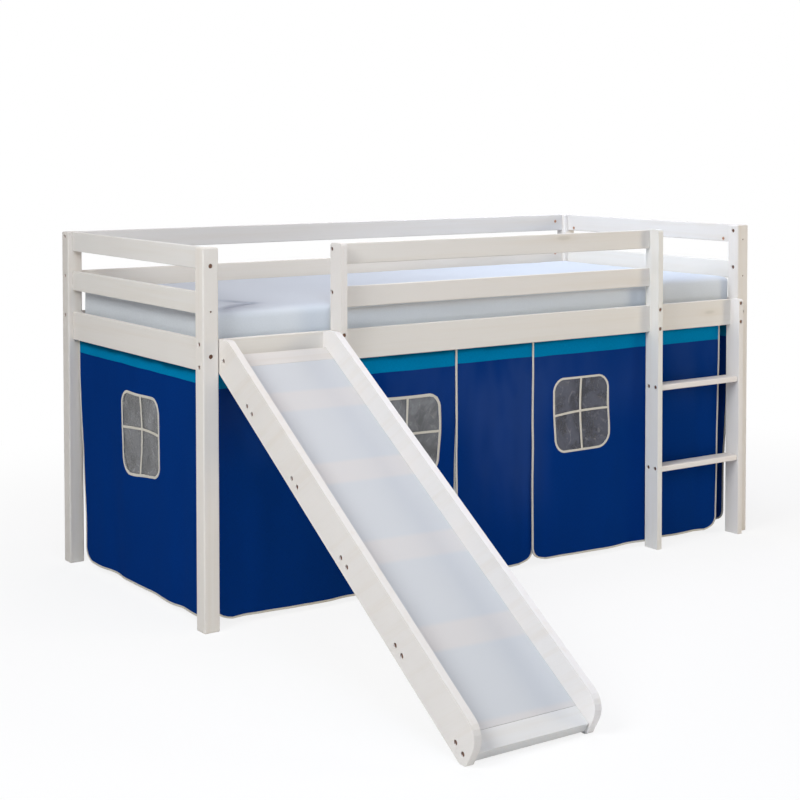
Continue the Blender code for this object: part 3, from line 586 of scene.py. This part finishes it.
class Hanging:
    """How one curtain hangs: its folds, its hem and where it goes on the bed."""

    def __init__(self, reach, folds, to_bed, seed, sway=(0.0, 0.0), tuck=(0.0, 0.0), pulls=()):
        self.start, self.end = reach
        self.folds = folds
        self.to_bed = to_bed
        self.seed = seed
        self.sway = sway
        self.tuck = tuck
        self.pulls = pulls

    def depth(self, across, height):
        """Inwards from the rail. Each fold is a middle, half width, depth and lean."""
        fall = (SIDE_RAIL_BOTTOM - height) / (SIDE_RAIL_BOTTOM - CLOTH_HEM)
        hang = smooth_step(fall * 1.35 + 0.05)
        total = 0.0
        for middle, half, deep, lean in self.folds:
            off = (across - middle - lean * fall) / half
            total += deep * bell(off) * hang
        wide = wave(across * 5.5, height * 1.8, self.seed)
        fine = wave(across * 19, height * 7, self.seed + 5)
        gather = wave(across * 34, height * 9, self.seed + 9)
        near_band = bell((fall - 0.04) / 0.10)
        total += hang * (0.0035 * (wide + 0.6) + 0.0010 * (fine + 0.5))
        total += near_band * 0.0014 * (gather + 0.4)
        edge = 0.45 + 0.55 * smooth_step(fall)
        total += self.tuck[0] * edge * smooth_step(1 - (across - self.start) / 0.030)
        total += self.tuck[1] * edge * smooth_step(1 - (self.end - across) / 0.030)
        return max(0.0, total)

    def spot(self, across, height, behind=0.0):
        fall = clamp((SIDE_RAIL_BOTTOM - height) / (SIDE_RAIL_BOTTOM - CLOTH_HEM))
        share = (across - self.start) / (self.end - self.start)
        shift = self.sway[0] * (1 - share) ** 2 + self.sway[1] * share**2
        drawn = across + shift * math.sin(math.pi * min(1.0, fall * 0.72)) * fall
        drawn += 0.0020 * wave(across * 3.1, height * 6.5, self.seed + 14) * smooth_step(fall * 5)
        lift = 0.0022 * wave(across * 9.0, height * 3.1, self.seed + 19) * smooth_step(fall * 9)
        hem = 0.0040 * wave(across * 3.2, 0.5, self.seed + 2) - 0.004
        lift += hem * smooth_step((fall - 0.6) / 0.4)
        for middle, level, half, reach, sideways, upwards in self.pulls:
            near = bell((across - middle) / half) * bell((height - level) / reach)
            drawn += sideways * near
            lift += upwards * near
        up = height - CLOTH_HEM
        for edge in (self.start, self.end):
            lift -= 0.46 * up * bell((across - edge) / 0.050) * bell(up / 0.085)
        return self.to_bed(drawn, self.depth(across, height) + behind, height + lift)

    def hang(self, work, behind=0.0):
        flat = work.loops.layers.uv.new("cloth")
        for face in work.faces:
            face.smooth = True
            for loop in face.loops:
                loop[flat].uv = loop.vert.co.xy
        for spot in work.verts:
            spot.co = self.spot(spot.co.x, spot.co.y, behind)
        return work


def edged(piece, thickness, bevel):
    """Gives a flat tape or binding its thickness and soft edges."""
    modify(piece, "SOLIDIFY", thickness=thickness, offset=0)
    modify(piece, "BEVEL", width=bevel, segments=2, limit_method="ANGLE", angle_limit=math.radians(60))


def dress(context, name, hanging, window=(), bows=(), band_drop=0.0, film="film"):
    """One curtain with its binding. A window is its start, width, drop, height and binding."""
    sizes = context.scene.loft_bed_sizes
    cloths = cloth_finishes(context.scene, film)
    low = (hanging.start, CLOTH_HEM)
    high = (hanging.end, CLOTH_TOP)
    cell = sizes.cloth_cell
    outline = RoundedBox(low, (high[0], high[1] + 1), HEM_CORNER)
    inner = outline.grown(-sizes.binding_width)
    work = flat_sheet(low, high, cell)
    cut_outline(work, outline, cell, clear=True)
    cut_outline(work, inner, cell)
    band = SIDE_RAIL_BOTTOM - sizes.band_drop - band_drop
    everything = work.verts[:] + work.edges[:] + work.faces[:]
    bmesh.ops.bisect_plane(work, geom=everything, plane_co=(0, band, 0), plane_no=(0, 1, 0))
    pane = None
    if window:
        start, width, drop, height, edging = window
        top = SIDE_RAIL_BOTTOM - drop
        pane = RoundedBox((start, top - height), (start + width, top), sizes.window_corner)
        hole = pane.grown(-edging)
        cut_outline(work, pane, cell)
        cut_outline(work, hole, cell)
        keep_faces(work, lambda point: hole.distance(point) > ON_LINE)
    flat_area = sum(face.calc_area() for face in work.faces)
    bound = work.copy()
    for face in work.faces:
        face.material_index = 1 if face.calc_center_median().y > band else 0

    def edge(point):
        return inner.distance(point) > ON_LINE or (pane is not None and pane.distance(point) < ON_LINE)

    keep_faces(bound, edge)
    cloth = new_piece(f"{name}_cloth", hanging.hang(work), [cloths["curtain"], cloths["band"]])
    modify(cloth, "SOLIDIFY", thickness=sizes.cloth_thickness, offset=0)
    binding = new_piece(f"{name}_binding", hanging.hang(bound), [cloths["binding"]])
    edged(binding, sizes.binding_thickness, 0.0008)
    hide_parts(f"curtain_{name}")
    if pane:
        clear_window(name, hanging, pane, cloths, sizes, edging, bows)


def clear_window(name, hanging, pane, cloths, sizes, edging, bows):
    """The film sewn behind the opening, and the two tapes that cross it, each a little bowed."""
    cell = sizes.cloth_cell / 2
    lap = pane.grown(-0.001)
    work = flat_sheet(lap.low, lap.high, cell)
    cut_outline(work, lap, cell, clear=True)
    flat_area = sum(face.calc_area() for face in work.faces)
    film = new_piece(f"{name}_film", hanging.hang(work, 0.0012), [cloths["film"]])
    for spot in film.data.vertices:
        ripple = noise.noise(Vector(spot.co) * 26 + Vector((hanging.seed, 0, 0)))
        spot.co += Vector(hanging.to_bed(0, 0.0012 * ripple, 0)) - Vector(hanging.to_bed(0, 0, 0))
    modify(film, "SOLIDIFY", thickness=0.0004, offset=0)
    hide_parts(f"window_{name}")
    width = pane.high.x - pane.low.x
    height = pane.high.y - pane.low.y
    middle = (pane.low + pane.high) / 2
    half = sizes.bar_width / 2
    inset = edging * 0.6
    bow, tilt, start_lift, end_lift, rise = bows
    low, high = pane.low, pane.high
    upright = flat_sheet((middle.x - half, low.y + inset), (middle.x + half, high.y - inset), half)
    level = flat_sheet((low.x + inset, middle.y - half), (high.x - inset, middle.y + half), half)
    for spot in upright.verts:
        share = (spot.co.y - low.y) / height
        spot.co.x += bow * math.sin(math.pi * share) + tilt * (1 - share)
    for spot in level.verts:
        share = (spot.co.x - low.x) / width
        spot.co.y += start_lift * (1 - share) + end_lift * share + rise * math.sin(math.pi * share)
    for word, work, behind in (("upright", upright, -0.0004), ("level", level, -0.0010)):
        bar = new_piece(f"{name}_bar_{word}", hanging.hang(work, behind), [cloths["binding"]])
        edged(bar, 0.0022, 0.0006)


def facing(direction):
    return Vector(direction).to_track_quat("Z", "Y").to_matrix().to_4x4()


def bolt_heads(name, spots, radius, depth, materials):
    """Cylinder head bolts in their recesses. Each spot is a place on the wood and the way out."""
    chamfer, rise = radius * 0.08, radius * 0.07
    rim_width, draft, socket = radius * 0.52, radius * 0.02, radius * 0.45
    head_height = radius * 1.4
    work = bmesh.new()
    for spot, way in spots:
        made = bmesh.ops.create_circle(work, cap_ends=True, segments=24, radius=radius)
        top = made["verts"][0].link_faces[0]
        bmesh.ops.inset_region(work, faces=[top], thickness=chamfer, depth=rise)
        ring = bmesh.ops.inset_region(work, faces=[top], thickness=rim_width, depth=0)
        walls = bmesh.ops.inset_region(work, faces=[top], thickness=draft, depth=-socket)
        top.material_index = 1
        for face in walls["faces"]:
            face.material_index = 1
        outer = set(made["verts"])
        rim = [edge for edge in work.edges if edge.is_boundary and outer.issuperset(edge.verts)]
        skirt = bmesh.ops.extrude_edge_only(work, edges=rim)
        below = [item for item in skirt["geom"] if isinstance(item, bmesh.types.BMVert)]
        bmesh.ops.translate(work, vec=(0, 0, -head_height), verts=below)
        spread = {v for item in (made["verts"], below) for v in item}
        spread |= {v for face in ring["faces"] + walls["faces"] + [top] for v in face.verts}
        grow = {v for vert in spread for edge in vert.link_edges for v in edge.verts}
        matrix = Matrix.Translation(Vector(spot) - Vector(way) * depth) @ facing(way)
        bmesh.ops.transform(work, matrix=matrix, verts=list(spread | grow))
    bmesh.ops.recalc_face_normals(work, faces=work.faces)
    new_piece(name, work, materials)


def nut_ends(name, spots, radius, materials):
    """Ends of barrel nuts: a flat disc with a driver slot across it."""
    chamfer = radius * 0.10
    slot_size, slot_level = (radius * 1.5, radius * 0.26, radius * 0.05), radius * 0.115
    work = bmesh.new()
    for spot, way in spots:
        before = set(work.verts)
        made = bmesh.ops.create_circle(work, cap_ends=True, segments=20, radius=radius)
        top = made["verts"][0].link_faces[0]
        bmesh.ops.inset_region(work, faces=[top], thickness=chamfer, depth=chamfer)
        matrix = Matrix.Translation(Vector(spot)) @ facing(way)
        slot = bmesh.ops.create_cube(work, size=1.0)
        bmesh.ops.scale(work, vec=slot_size, verts=slot["verts"])
        bmesh.ops.translate(work, vec=(0, 0, slot_level), verts=slot["verts"])
        for face in {face for vert in slot["verts"] for face in vert.link_faces}:
            face.material_index = 1
        made = [vert for vert in work.verts if vert not in before]
        bmesh.ops.transform(work, matrix=matrix, verts=made)
    new_piece(name, work, materials)


def plump(piece, voxel, pressure, cap, floor):
    """Swells a closed piece a little with cloth pressure, and keeps the result as its mesh."""
    scene = bpy.context.scene
    modify(piece, "REMESH", mode="VOXEL", voxel_size=voxel)
    piece.data = baked_mesh(piece)
    piece.modifiers.clear()
    rest = [spot.co.copy() for spot in piece.data.vertices]
    cloth = modify(piece, "CLOTH")
    firm = {"tension_stiffness": 25, "compression_stiffness": 25, "bending_stiffness": 4}
    blown = {"use_pressure": True, "uniform_pressure_force": pressure}
    for label, value in {"quality": 4, "mass": 0.3, **firm, **blown}.items():
        setattr(cloth.settings, label, value)
    cloth.settings.effector_weights.gravity = 0
    cloth.point_cache.frame_start = 1
    cloth.point_cache.frame_end = SWELL_FRAMES
    for number in range(1, SWELL_FRAMES + 1):
        scene.frame_set(number)
    swollen = baked_mesh(piece)
    for spot, start in zip(swollen.vertices, rest):
        move = spot.co - start
        if move.length > cap:
            move = move.normalized() * cap
        spot.co = start + move
        spot.co.z = max(spot.co.z, floor)
    piece.modifiers.clear()
    piece.data = swollen
    scene.frame_set(1)


class LOFTBED_OT_timber(Operator):
    """Gives every board, rail and post its pine, with the grain along the piece"""

    bl_idname = "loftbed.timber"
    bl_label = "Pine boards"

    def execute(self, context):
        colours = context.scene.loft_bed_colours
        painted, under = (
            [make(f"{make.__name__}_{word}", colours, axis) for axis, word in enumerate(words)]
            for make, words in ((whitewashed_pine, "xyz"), (plain_pine, "xy"))
        )
        for name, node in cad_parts.items():
            if name.startswith(("curtain", "window", "mattress", "slide_panel")):
                continue
            axis, tilt = 0, 0.0
            if name.startswith("post") or name.endswith("upright"):
                axis = 2
            elif name in ("slide_left_board", "slide_right_board"):
                axis, tilt = 1, SLIDE_TILT
            elif "_end_" in name or name.startswith("bed_slat"):
                axis = 1
            # These pieces get their own tint: painted light and shade.
            if name in PAINTED_LIGHT_TINTS:
                finish = whitewashed_pine(f"wash_of_{name}", colours, axis, tilt, PAINTED_LIGHT_TINTS[name])
            elif name.startswith("bed_slat") or name.endswith("ledger"):
                finish = under[axis]
            else:
                finish = painted[axis]
            node.data.materials.clear()
            node.data.materials.append(finish)
        return {"FINISHED"}


class LOFTBED_OT_slide_sheet(Operator):
    """Gives the slide its milky sheet, with the slats showing through"""

    bl_idname = "loftbed.slide_sheet"
    bl_label = "Slide sheet"

    def execute(self, context):
        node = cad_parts["slide_panel"]
        node.data.materials.clear()
        node.data.materials.append(slide_sheet(context.scene.loft_bed_colours))
        return {"FINISHED"}


class LOFTBED_OT_mattress(Operator):
    """Builds the foam mattress in its fitted cover"""

    bl_idname = "loftbed.mattress"
    bl_label = "Mattress"

    def execute(self, context):
        sizes = context.scene.loft_bed_sizes
        low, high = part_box("mattress")
        inset, shove = 0.002, 0.005
        low = low + Vector((inset + shove, inset, 0))
        high = high - Vector((inset - shove, inset, inset))
        work = bmesh.new()
        bmesh.ops.create_cube(work, size=1.0)
        bmesh.ops.scale(work, vec=high - low, verts=work.verts)
        bmesh.ops.translate(work, vec=(low + high) / 2, verts=work.verts)
        ways = [(edge, edge.verts[0].co - edge.verts[1].co) for edge in work.edges]
        upright = [edge for edge, way in ways if abs(way.normalized().z) > 0.9]
        bevel = {"affect": "EDGES", "profile": 0.5, "material": -1, "clamp_overlap": True}
        bmesh.ops.bevel(work, geom=upright, offset=sizes.mattress_corner, segments=8, **bevel)
        level = [edge for edge in work.edges if edge.is_manifold and edge.calc_face_angle(0) > 1.2]
        bmesh.ops.bevel(work, geom=level, offset=sizes.mattress_edge, segments=5, **bevel)
        piece = new_piece("mattress_cover", work, [], "mattress")
        plump(piece, voxel=0.010, pressure=2.0, cap=0.004, floor=low.z)
        self.divide(piece.data, high.z - TOP_LAYER)
        self.crease(piece.data, low, high)
        piece.data.materials.append(mattress_cover(context.scene.loft_bed_colours))
        piece.data.shade_smooth()
        # Painted shade: each point on the top stores how far into a crease it lies, over a wider reach
        # than the cut, and the cover darkens by it.
        spots = [spot.co for spot in piece.data.vertices]
        top = high.z - TOP_LAYER
        crease_shade_mask = [self.groove(spot, CREASE_SHADE) * (spot.z > top) for spot in spots]
        piece.data.attributes.new("crease", "FLOAT", "POINT").data.foreach_set("value", crease_shade_mask)
        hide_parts("mattress")
        return {"FINISHED"}

    def divide(self, mesh, level):
        """Finer faces where the two deep creases run, by the front left corner."""
        far = place(0.30, 0.42, 0)
        work = bmesh.new()
        work.from_mesh(mesh)

        def near(point):
            return point.x < far.x and point.y < far.y and point.z > level

        edges = [edge for edge in work.edges if all(near(spot.co) for spot in edge.verts)]
        bmesh.ops.subdivide_edges(work, edges=edges, cuts=2, use_grid_fill=True)
        bmesh.ops.triangulate(work, faces=[face for face in work.faces if len(face.verts) > 4])
        work.to_mesh(mesh)
        work.free()

    def groove(self, point, width):
        """How deep the two creases in the top are at a point: they meet in a V near the corner."""
        deepest = 0.0
        for arm in CREASES:
            corners = [place(x, y, 0).xy for x, y in arm]
            whole = sum((end - start).length for start, end in zip(corners, corners[1:]))
            before = 0.0
            for start, end in zip(corners, corners[1:]):
                way = end - start
                share = clamp((point.xy - start).dot(way) / way.length_squared)
                off = (point.xy - start - way * share).length
                run = (before + share * way.length) / whole
                fade = smooth_step((run + 0.12) / 0.30) * smooth_step((1 - run) / 0.5)
                deepest = max(deepest, fade * bell(off / width))
                before += way.length
        return deepest

    def crease(self, mesh, low, high):
        """Pulls short creases into the sides near the corners, and slow waves over the top."""
        middle = (low + high) / 2
        for spot in mesh.vertices:
            point = spot.co
            gaps = [min(point[axis] - low[axis], high[axis] - point[axis]) for axis in (0, 1)]
            side, corner = min(gaps), math.hypot(*gaps)
            inward = (middle - point) * Vector((1, 1, 0))
            if side < 0.012 and point.z > low.z + 0.01:
                near = 0.35 + 0.65 * math.exp(-corner / 0.25)
                pulled = near * (wave(point.x * 24, point.y * 24, point.z * 7) + 0.3)
                spot.co += inward.normalized() * 0.0022 * pulled
            elif point.z > middle.z:
                swell = wave(point.x * 2.3, point.y * 3.1, 1.7)
                fold = wave(point.x * 11 + point.y * 9, point.y * 5 - point.x * 3, 4.1)
                spot.co.z += 0.0016 * swell - 0.0010 * max(0.0, fold) * math.exp(-corner / 0.35)
                spot.co.z -= CREASE_DEPTH * self.groove(point, CREASE_WIDTH)


def cloth_finishes(scene, film):
    """The curtains share their finishes, which are made once."""
    colours = scene.loft_bed_colours
    at_end = film == "end_film"
    side = "end" if at_end else "front"
    # How far the painted rail shadow reaches down the band, at the near and the far end.
    reach = (0.015, 0.015) if at_end else (0.010, 0.001)
    names = (f"curtain_cotton_{side}", f"curtain_band_{side}", "curtain_binding", "window_" + film)
    if names[0] not in bpy.data.materials:
        woven(names[0], colours.curtain, sheen=None if at_end else colours.sheen)
        woven(names[1], colours.band, gather=(colours.gather, *reach))
    if names[2] not in bpy.data.materials:
        woven(names[2], colours.binding, shade=0.9, slub=0.2, bump=0.0003)
    if names[3] not in bpy.data.materials:
        # The film's grey is painted shade of the inside.
        window_film(names[3], getattr(colours, film))
    keys = ("curtain", "band", "binding", "film")
    return {key: bpy.data.materials[name] for key, name in zip(keys, names)}


def front_place(across, inward, height):
    return place(across, CLOTH_INSET + inward, height)


def left_place(across, inward, height):
    return place(CLOTH_INSET + inward, across, height)


def right_place(across, inward, height):
    return Vector((CAD_BOX[1].x - CLOTH_INSET - inward, CORNER.y + across, CORNER.z + height))


class LOFTBED_OT_curtain_left_end(Operator):
    """Hangs the curtain inside the left end board"""

    bl_idname = "loftbed.curtain_left_end"
    bl_label = "Left end curtain"

    def execute(self, context):
        folds = ((0.20, 0.050, 0.007, 0.02), (0.46, 0.10, 0.004, -0.02), (0.72, 0.055, 0.008, -0.03))
        pulls = ((0.37, 0.345, 0.06, 0.05, 0.0, 0.007), (0.56, 0.345, 0.07, 0.05, 0.0, -0.009))
        hanging = Hanging((0.050, 0.925), folds, left_place, 3.0, (0.004, -0.050), pulls=pulls)
        sizes = context.scene.loft_bed_sizes
        window = (0.3505, sizes.end_window, 0.1195, sizes.window_height, sizes.window_binding)
        bows = (-0.014, 0.014, 0.014, 0.007, 0.008)
        dress(context, "left_end", hanging, window, bows, -0.006, "end_film")
        return {"FINISHED"}


class LOFTBED_OT_curtain_front_left(Operator):
    """Hangs the curtain behind the slide"""

    bl_idname = "loftbed.curtain_front_left"
    bl_label = "Front left curtain"

    def execute(self, context):
        folds = (
            (0.130, 0.035, 0.008, 0.02),
            (0.260, 0.055, 0.006, -0.01),
            (0.470, 0.050, 0.007, 0.02),
            (0.835, 0.030, 0.007, -0.01),
        )
        pulls = ((0.816, 0.480, 0.06, 0.06, 0.005, 0.0), (0.816, 0.36, 0.06, 0.05, -0.002, 0.0))
        sway, tuck = (-0.006, -0.005), (0.0, 0.008)
        hanging = Hanging((0.053, 0.8805), folds, front_place, 11.0, sway, tuck, pulls)
        sizes = context.scene.loft_bed_sizes
        width = sizes.front_window
        window = (0.816 - width, width, 0.1275, sizes.window_height, 0.0090)
        dress(context, "front_left", hanging, window, (-0.003, 0.0, 0.006, 0.006, 0.002), 0.0045)
        return {"FINISHED"}


class LOFTBED_OT_curtain_front_door(Operator):
    """Hangs the door flap between the two front curtains"""

    bl_idname = "loftbed.curtain_front_door"
    bl_label = "Door flap"

    def execute(self, context):
        folds = ((0.935, 0.032, 0.007, 0.01), (1.03, 0.045, 0.009, -0.02), (1.135, 0.028, 0.006, 0.0))
        hanging = Hanging((0.8725, 1.1815), folds, front_place, 17.0, (0.005, 0.0), (0.0, 0.005))
        dress(context, "front_door", hanging, band_drop=-0.001)
        return {"FINISHED"}


class LOFTBED_OT_curtain_front_right(Operator):
    """Hangs the curtain between the door flap and the ladder"""

    bl_idname = "loftbed.curtain_front_right"
    bl_label = "Front right curtain"

    def execute(self, context):
        folds = (
            (1.215, 0.026, 0.006, 0.0),
            (1.560, 0.045, 0.008, 0.03),
            (1.735, 0.050, 0.007, 0.0),
            (1.900, 0.035, 0.008, -0.01),
        )
        pulls = ((1.256, 0.375, 0.07, 0.07, 0.0070, 0.0), (1.490, 0.400, 0.06, 0.06, 0.0065, 0.003))
        hanging = Hanging((1.1705, 1.990), folds, front_place, 23.0, (0.001, -0.010), pulls=pulls)
        sizes = context.scene.loft_bed_sizes
        window = (1.256, sizes.front_window - 0.007, 0.1255, sizes.window_height - 0.005, 0.0068)
        bows = (-0.007, 0.004, 0.000, 0.009, 0.004)
        dress(context, "front_right", hanging, window, bows, 0.002, "dark_film")
        return {"FINISHED"}


class LOFTBED_OT_curtain_right_end(Operator):
    """Hangs the curtain inside the right end board"""

    bl_idname = "loftbed.curtain_right_end"
    bl_label = "Right end curtain"

    def execute(self, context):
        folds = ((0.17, 0.045, 0.007, 0.02), (0.40, 0.07, 0.005, 0.02), (0.70, 0.055, 0.008, 0.01))
        hanging = Hanging((0.050, 0.925), folds, right_place, 31.0, (0.030, -0.006))
        sizes = context.scene.loft_bed_sizes
        window = (0.3505, sizes.end_window, 0.1215, sizes.window_height, sizes.window_binding)
        bows = (0.008, 0.0, 0.004, 0.004, 0.004)
        dress(context, "right_end", hanging, window, bows, film="end_film")
        return {"FINISHED"}


class LOFTBED_OT_bolts(Operator):
    """Sets the bolt heads and the ends of the barrel nuts"""

    bl_idname = "loftbed.bolts"
    bl_label = "Bolts and barrel nuts"

    def execute(self, context):
        sizes = context.scene.loft_bed_sizes
        colours = context.scene.loft_bed_colours
        metals = [
            cast_brass("brass_bolts", colours.brass, colours.bronze),
            cast_brass("bronze_sockets", colours.bronze, (0.05, 0.03, 0.02)),
        ]
        posts, screws = self.post_spots()
        groups = (
            ("bolts_posts", posts, sizes.bolt_radius),
            ("screws_posts", screws, sizes.fine_radius),
            ("bolts_guard_and_ladder", self.board_spots(), sizes.ladder_bolt),
            ("bolts_slide", self.slide_spots(), sizes.slide_bolt),
        )
        for name, spots, radius in groups:
            bolt_heads(name, spots, radius, sizes.bolt_depth, metals)
        nut_ends("barrel_nuts", self.nut_spots(), sizes.nut_radius, metals)
        return {"FINISHED"}

    def post_spots(self):
        """Bolts and small screws in the posts, with the guard's bolts in the front right post."""
        posts = [(place(BED_LENGTH - 2 * POST_MIDDLE, POST_MIDDLE, z), LEFT) for z in GUARD_BOLTS]
        screws = []
        ends = (
            (0, POST_MIDDLE, LEFT, LEFT_POST_HEADS, LEFT_POST_SCREWS),
            (BED_LENGTH, BED_LENGTH - POST_MIDDLE, RIGHT, RIGHT_POST_HEADS, RIGHT_POST_SCREWS),
        )
        for x, inner, out, heads, fine in ends:
            posts += [(place(x, POST_MIDDLE, z), out) for z in SIDE_BOLTS]
            posts += [(place(x, BED_WIDTH - POST_MIDDLE, z), out) for z in BACK_BOLTS]
            for y, way in ((0, FRONT), (BED_WIDTH, REAR)):
                posts += [(place(inner, y, z), way) for z in heads]
                screws += [(place(inner, y, z), way) for z in fine]
        return posts, screws

    def board_spots(self):
        """Bolts in the uprights of the guard and the ladder, and in the ladder beside its steps."""
        names = ("guard_left_upright", "ladder_left_upright", "ladder_right_upright")
        guard, ladder, other = (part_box(name) for name in names)
        spots = []
        for low, high in (guard, ladder, other):
            middle = (low.x + high.x) / 2
            spots += [(Vector((middle, low.y, CORNER.z + z)), FRONT) for z in SIDE_BOLTS]
        for x, way in ((guard[0].x, LEFT), (ladder[1].x, RIGHT)):
            spots += [(Vector((x, CORNER.y + POST_MIDDLE, CORNER.z + z)), way) for z in GUARD_BOLTS]
        for word in ("lower", "upper"):
            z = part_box(f"ladder_{word}_step")[1].z - 0.0065
            for side in (-1, 1):
                spots.append((Vector((ladder[0].x, CORNER.y + 0.002 + side * 0.016, z)), LEFT))
        return spots

    def slide_spots(self):
        """One bolt by the slide's head and a pair at each slat, on both boards."""
        normal = Vector((0, SLIDE_WAY.z, -SLIDE_WAY.y))
        spots = [SLAT_MIDDLES[0] - SLIDE_WAY * 0.1875 + normal * 0.018]
        for spot in (*SLAT_MIDDLES, SLAT_MIDDLES[-1] + SLIDE_WAY * SLIDE_PITCH):
            spots += [spot + SLIDE_WAY * 0.0163 * way for way in (-1, 1)]
        low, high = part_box("slide_top_slat")
        half = Vector(((high.x - low.x) / 2 + 0.0195, 0, 0))
        return [(spot - half, LEFT) for spot in spots] + [(spot + half, RIGHT) for spot in spots]

    def nut_spots(self):
        """Barrel nuts on the inner faces of the back and end rails."""
        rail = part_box("back_top_rail")[0].y
        spots = []
        for x in (0.077, BED_LENGTH - 0.084):
            spots += [(Vector((CORNER.x + x, rail, CORNER.z + z)), FRONT) for z in (0.912, 1.035)]
        ends = ((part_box("right_end_top_rail")[0].x, LEFT), (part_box("left_end_top_rail")[1].x, RIGHT))
        for x, way in ends:
            for y in (0.085, BED_WIDTH - 0.085):
                spots.append((Vector((x, CORNER.y + y, CORNER.z + 1.010)), way))
        return spots


class LOFTBED_OT_slat_screws(Operator):
    """Screws the bed slats down to the ledgers"""

    bl_idname = "loftbed.slat_screws"
    bl_label = "Slat screws"

    def execute(self, context):
        colours = context.scene.loft_bed_colours
        steel = cast_brass("screw_steel", (0.55, 0.54, 0.50), (0.30, 0.29, 0.27))
        dark = cast_brass("screw_recess", colours.bronze, (0.02, 0.015, 0.012))
        radius, depth, from_end, clearance = 0.0036, -0.0001, 0.012, 0.00005
        spots = []
        for low, high in (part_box(name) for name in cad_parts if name.startswith("bed_slat")):
            for y in (low.y + from_end, high.y - from_end):
                spots.append((Vector(((low.x + high.x) / 2, y, high.z + clearance)), (0, 0, 1)))
        bolt_heads("slat_screws", spots, radius, depth, [steel, dark])
        return {"FINISHED"}


class LOFTBED_OT_stage(Operator):
    """Sets the floor, the soft lamps, the world and the camera"""

    bl_idname = "loftbed.stage"
    bl_label = "Studio"

    def execute(self, context):
        scene = context.scene
        scene.view_settings.view_transform = "Standard"
        self.floor(scene)
        self.world(scene)
        for name, values in LAMPS.items():
            self.lamp(scene, name, *values)
        view = bpy.data.cameras.new("camera")
        camera = bpy.data.objects.new("camera", view)
        scene.collection.objects.link(camera)
        view.lens = CAMERA_LENS
        view.shift_x, view.shift_y = CAMERA_SHIFT
        view.clip_end = 200
        camera.location = place(*CAMERA_PLACE)
        camera.rotation_euler = (math.pi / 2 + CAMERA_PITCH, 0, CAMERA_YAW)
        scene.camera = camera
        return {"FINISHED"}

    def floor(self, scene):
        """A pale floor that keeps the shadow near the bed and runs out into plain white."""
        work = bmesh.new()
        bmesh.ops.create_circle(work, cap_ends=True, segments=64, radius=40)
        mesh = bpy.data.meshes.new("floor")
        work.to_mesh(mesh)
        work.free()
        white = (0.90, 0.90, 0.90, 1)
        finish = Finish("pale_floor", Base_Color=white, Roughness=0.9, Specular_IOR_Level=0.0)
        away = {0: finish.add("ShaderNodeTexCoord", output="Object")}
        away = finish.add("ShaderNodeVectorMath", {"operation": "LENGTH"}, away, "Value")
        share = finish.ease(away, 1.4, 3.2, 0.84, 1.0) * finish.seen_plainly()
        glow = finish.add("ShaderNodeEmission", None, {"Color": (1, 1, 1, 1), "Strength": 1.0})
        plain = Shade(finish, finish.shader.outputs[0])
        mixed = finish.add("ShaderNodeMixShader", None, {0: share, 1: plain, 2: glow})
        finish.feed(finish.tree.nodes["Material Output"].inputs["Surface"], mixed)
        mesh.materials.append(finish.material)
        floor = bpy.data.objects.new("floor", mesh)
        scene.collection.objects.link(floor)
        floor.location.z = -0.0005

    def world(self, scene):
        scene.world = bpy.data.worlds.new("studio")
        scene.world.use_nodes = True
        nodes = Nodes(scene.world.node_tree)
        inputs = {"Value": nodes.seen_plainly(), "To Min": 0.012, "To Max": 1.0}
        back = nodes.tree.nodes["Background"]
        nodes.feed(back.inputs["Color"], (1, 1, 1, 1))
        nodes.feed(back.inputs["Strength"], nodes.add("ShaderNodeMapRange", None, inputs))

    def lamp(self, scene, name, spot, aim, width, power, tint):
        data = bpy.data.lights.new(name, "AREA")
        data.shape = "DISK"
        data.size = width
        data.energy = power
        data.color = tint
        lamp = bpy.data.objects.new(name, data)
        scene.collection.objects.link(lamp)
        lamp.location = spot
        lamp.rotation_euler = (Vector(aim) - Vector(spot)).to_track_quat("-Z", "Y").to_euler()


OPERATORS = (
    LOFTBED_OT_stage,
    LOFTBED_OT_timber,
    LOFTBED_OT_slide_sheet,
    LOFTBED_OT_mattress,
    LOFTBED_OT_curtain_left_end,
    LOFTBED_OT_curtain_front_left,
    LOFTBED_OT_curtain_front_door,
    LOFTBED_OT_curtain_front_right,
    LOFTBED_OT_curtain_right_end,
    LOFTBED_OT_bolts,
    LOFTBED_OT_slat_screws,
)


class LOFTBED_PT_sidebar(Panel):
    """Lists the pieces of the bed with their sizes and colours"""

    bl_label = "Loft bed"
    bl_idname = "LOFTBED_PT_sidebar"
    bl_space_type = "VIEW_3D"
    bl_region_type = "UI"
    bl_category = "Loft bed"

    def draw(self, context):
        for operator in OPERATORS:
            self.layout.operator(operator.bl_idname)
        for group in (context.scene.loft_bed_sizes, context.scene.loft_bed_colours):
            box = self.layout.box()
            for label in group.__annotations__:
                box.prop(group, label)


CLASSES = (LoftBedSizes, LoftBedColours, *OPERATORS, LOFTBED_PT_sidebar)


def register():
    for made in CLASSES:
        bpy.utils.register_class(made)
    bpy.types.Scene.loft_bed_sizes = PointerProperty(type=LoftBedSizes)
    bpy.types.Scene.loft_bed_colours = PointerProperty(type=LoftBedColours)


def unregister():
    del bpy.types.Scene.loft_bed_colours
    del bpy.types.Scene.loft_bed_sizes
    for made in reversed(CLASSES):
        bpy.utils.unregister_class(made)


def main():
    register()
    for operator in OPERATORS:
        group, word = operator.bl_idname.split(".")
        getattr(getattr(bpy.ops, group), word)()


if __name__ == "__main__":
    main()
